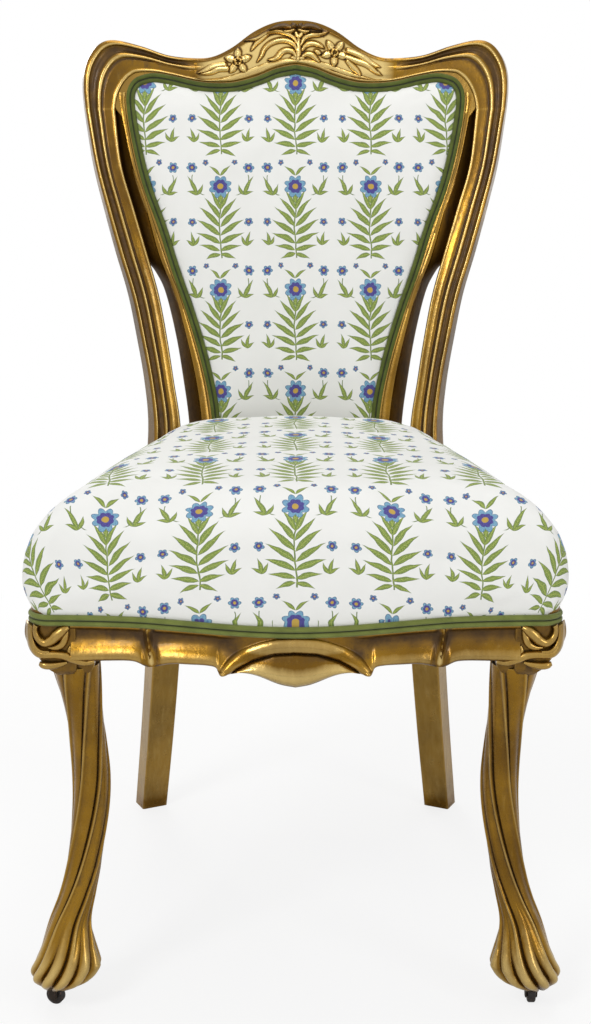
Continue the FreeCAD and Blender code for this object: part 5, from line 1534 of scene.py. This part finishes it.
seat = stuffed("stuffed_seat", seat_form(), 5.5, seat_held, 7)
charted(seat, seat_chart)
upholstered(seat, ["seat_cover", "seat_stuffing", "seat_hessian"])
pad = stuffed("stuffed_back", pad_form(), 4.2, back_held, 5)
charted(pad, back_chart)
upholstered(pad, ["back_pad", "back_hessian"])


def flat_cloth(loop, heart, section, steps, level_of):
    """A cloth within a loop, from a section: shares of the way out from its heart, and levels."""
    spread = 60
    levels = evenly([(share * spread, level) for share, level in section], steps, closed=False)

    def place(u, w):
        share, level = levels[int(round(w * steps))]
        across, up = heart + (loop[ring_step(u, len(loop))] - heart) * (share / spread)
        return level_of(across, up, level)
    return surface(len(loop), steps, place)


# The printed cloth stretched over the back's rear
PANEL_SECTION = [
    (0, 21.6), (0.97, 21.6), (1, 21.9), (1, 23.6), (0.985, 24.7), (0.94, 25.2), (0.6, 25.6),
    (0.3, 25.7), (0, 25.7),
]
rear_panel = flat_cloth(back_loop(2.6, 300), BACK_HEART, PANEL_SECTION, 40, in_back)
panel = finished("rear_printed_panel", rear_panel, PRINT,
                 ["rear_back_panel"], sharp=80)
panel.data.uv_layers.remove(panel.data.uv_layers["chart"])
charted(panel, back_chart)


# ---- under the seat, and the pieces that keep their shape ---------------------------------------

# The dust cover: a thin lining tacked under the rails, with a little slack
LINING_SECTION = [
    (0, -1.6), (0.5, -0.4), (0.99, 0.8), (1, 0.7), (1, 0.1), (0.99, 0.0), (0.5, -1.2), (0, -2.4),
]
lining_loop = seat_loop(12, 14, 240)
lining_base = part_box("dust_cover")[0].z * 1000
under_cloth = flat_cloth(lining_loop, lining_loop.mean(axis=0), LINING_SECTION, 30,
                         lambda x, y, rise: (x, y, lining_base + rise))
lining = finished("dust_lining", under_cloth, LINING, ["dust_cover"], sharp=80)

# Each kept solid gets its own finish. The first of these words in its name decides, and gilt is
# for the rest.
KEPT_FINISHES = [
    ("caster_wheel", WHEEL), ("caster", IRON), ("webbing", WEBBING), ("springs", STEEL),
    ("brace", BEECH), ("dowels", BEECH), ("hessian", HESSIAN), ("stuffing", FIBRE),
    ("rear_seat_rail", REAR_GILT), ("shoe_rail", REAR_GILT), ("cover", FIBRE),
]
for name, node in frame["nodes"].items():
    recoloured(node, next((finish for word, finish in KEPT_FINISHES if word in name), GILT))


# ---- floor, background and the end -------------------------------------------------------------

def pale_floor():
    """A wide white floor that only shows soft shadows near the chair."""
    bm = bmesh.new()
    bmesh.ops.create_grid(bm, x_segments=1, y_segments=1, size=6)
    floor = as_object("floor", bm)
    finish = Finish("floor_paper", Base_Color=paint(250, 250, 250), Roughness=0.9)
    seen = finish.node("ShaderNodeLightPath", {}, {}, "Is Camera Ray")
    away = finish.node("ShaderNodeVectorMath", {"operation": "LENGTH"}, {0: finish.place()}, 1)
    seen = seen * (away.between(0.5, 1.3) * 0.2 + 0.8)
    glow = finish.node("ShaderNodeEmission", {}, {})
    lit = Mark(finish, finish.shader.outputs[0])
    mixed = finish.node("ShaderNodeMixShader", {}, {0: seen, 1: lit, 2: glow})
    finish.tree.links.new(mixed.socket, finish.tree.nodes["Material Output"].inputs[0])
    floor.data.materials.append(finish.material)
    floor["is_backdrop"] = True


def white_world(strength):
    """White where the camera looks or metal mirrors it, and plain soft light elsewhere."""
    world = bpy.data.worlds.new("white_room")
    world.use_nodes = True
    scene.world = world
    room = Nodes(world.node_tree)
    room.tree.nodes.clear()
    path = room.tree.nodes.new("ShaderNodeLightPath")
    seen = reduce(Mark.larger, [Mark(room, path.outputs[ray]) for ray in
                                ("Is Camera Ray", "Is Glossy Ray", "Is Transmission Ray")])
    dim, full = (room.node("ShaderNodeBackground", {},
                           {"Color": (1, 1, 1, 1), "Strength": level})
                 for level in (strength, 1.0))
    mixed = room.node("ShaderNodeMixShader", {}, {0: seen, 1: dim, 2: full})
    output = room.tree.nodes.new("ShaderNodeOutputWorld")
    room.tree.links.new(mixed.socket, output.inputs[0])


pale_floor()
white_world(0.45)

bpy.context.view_layer.update()
boxes = {"cad": CAD_BOX, "visual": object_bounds()}
{name: [list(corner) for corner in box] for name, box in boxes.items()}
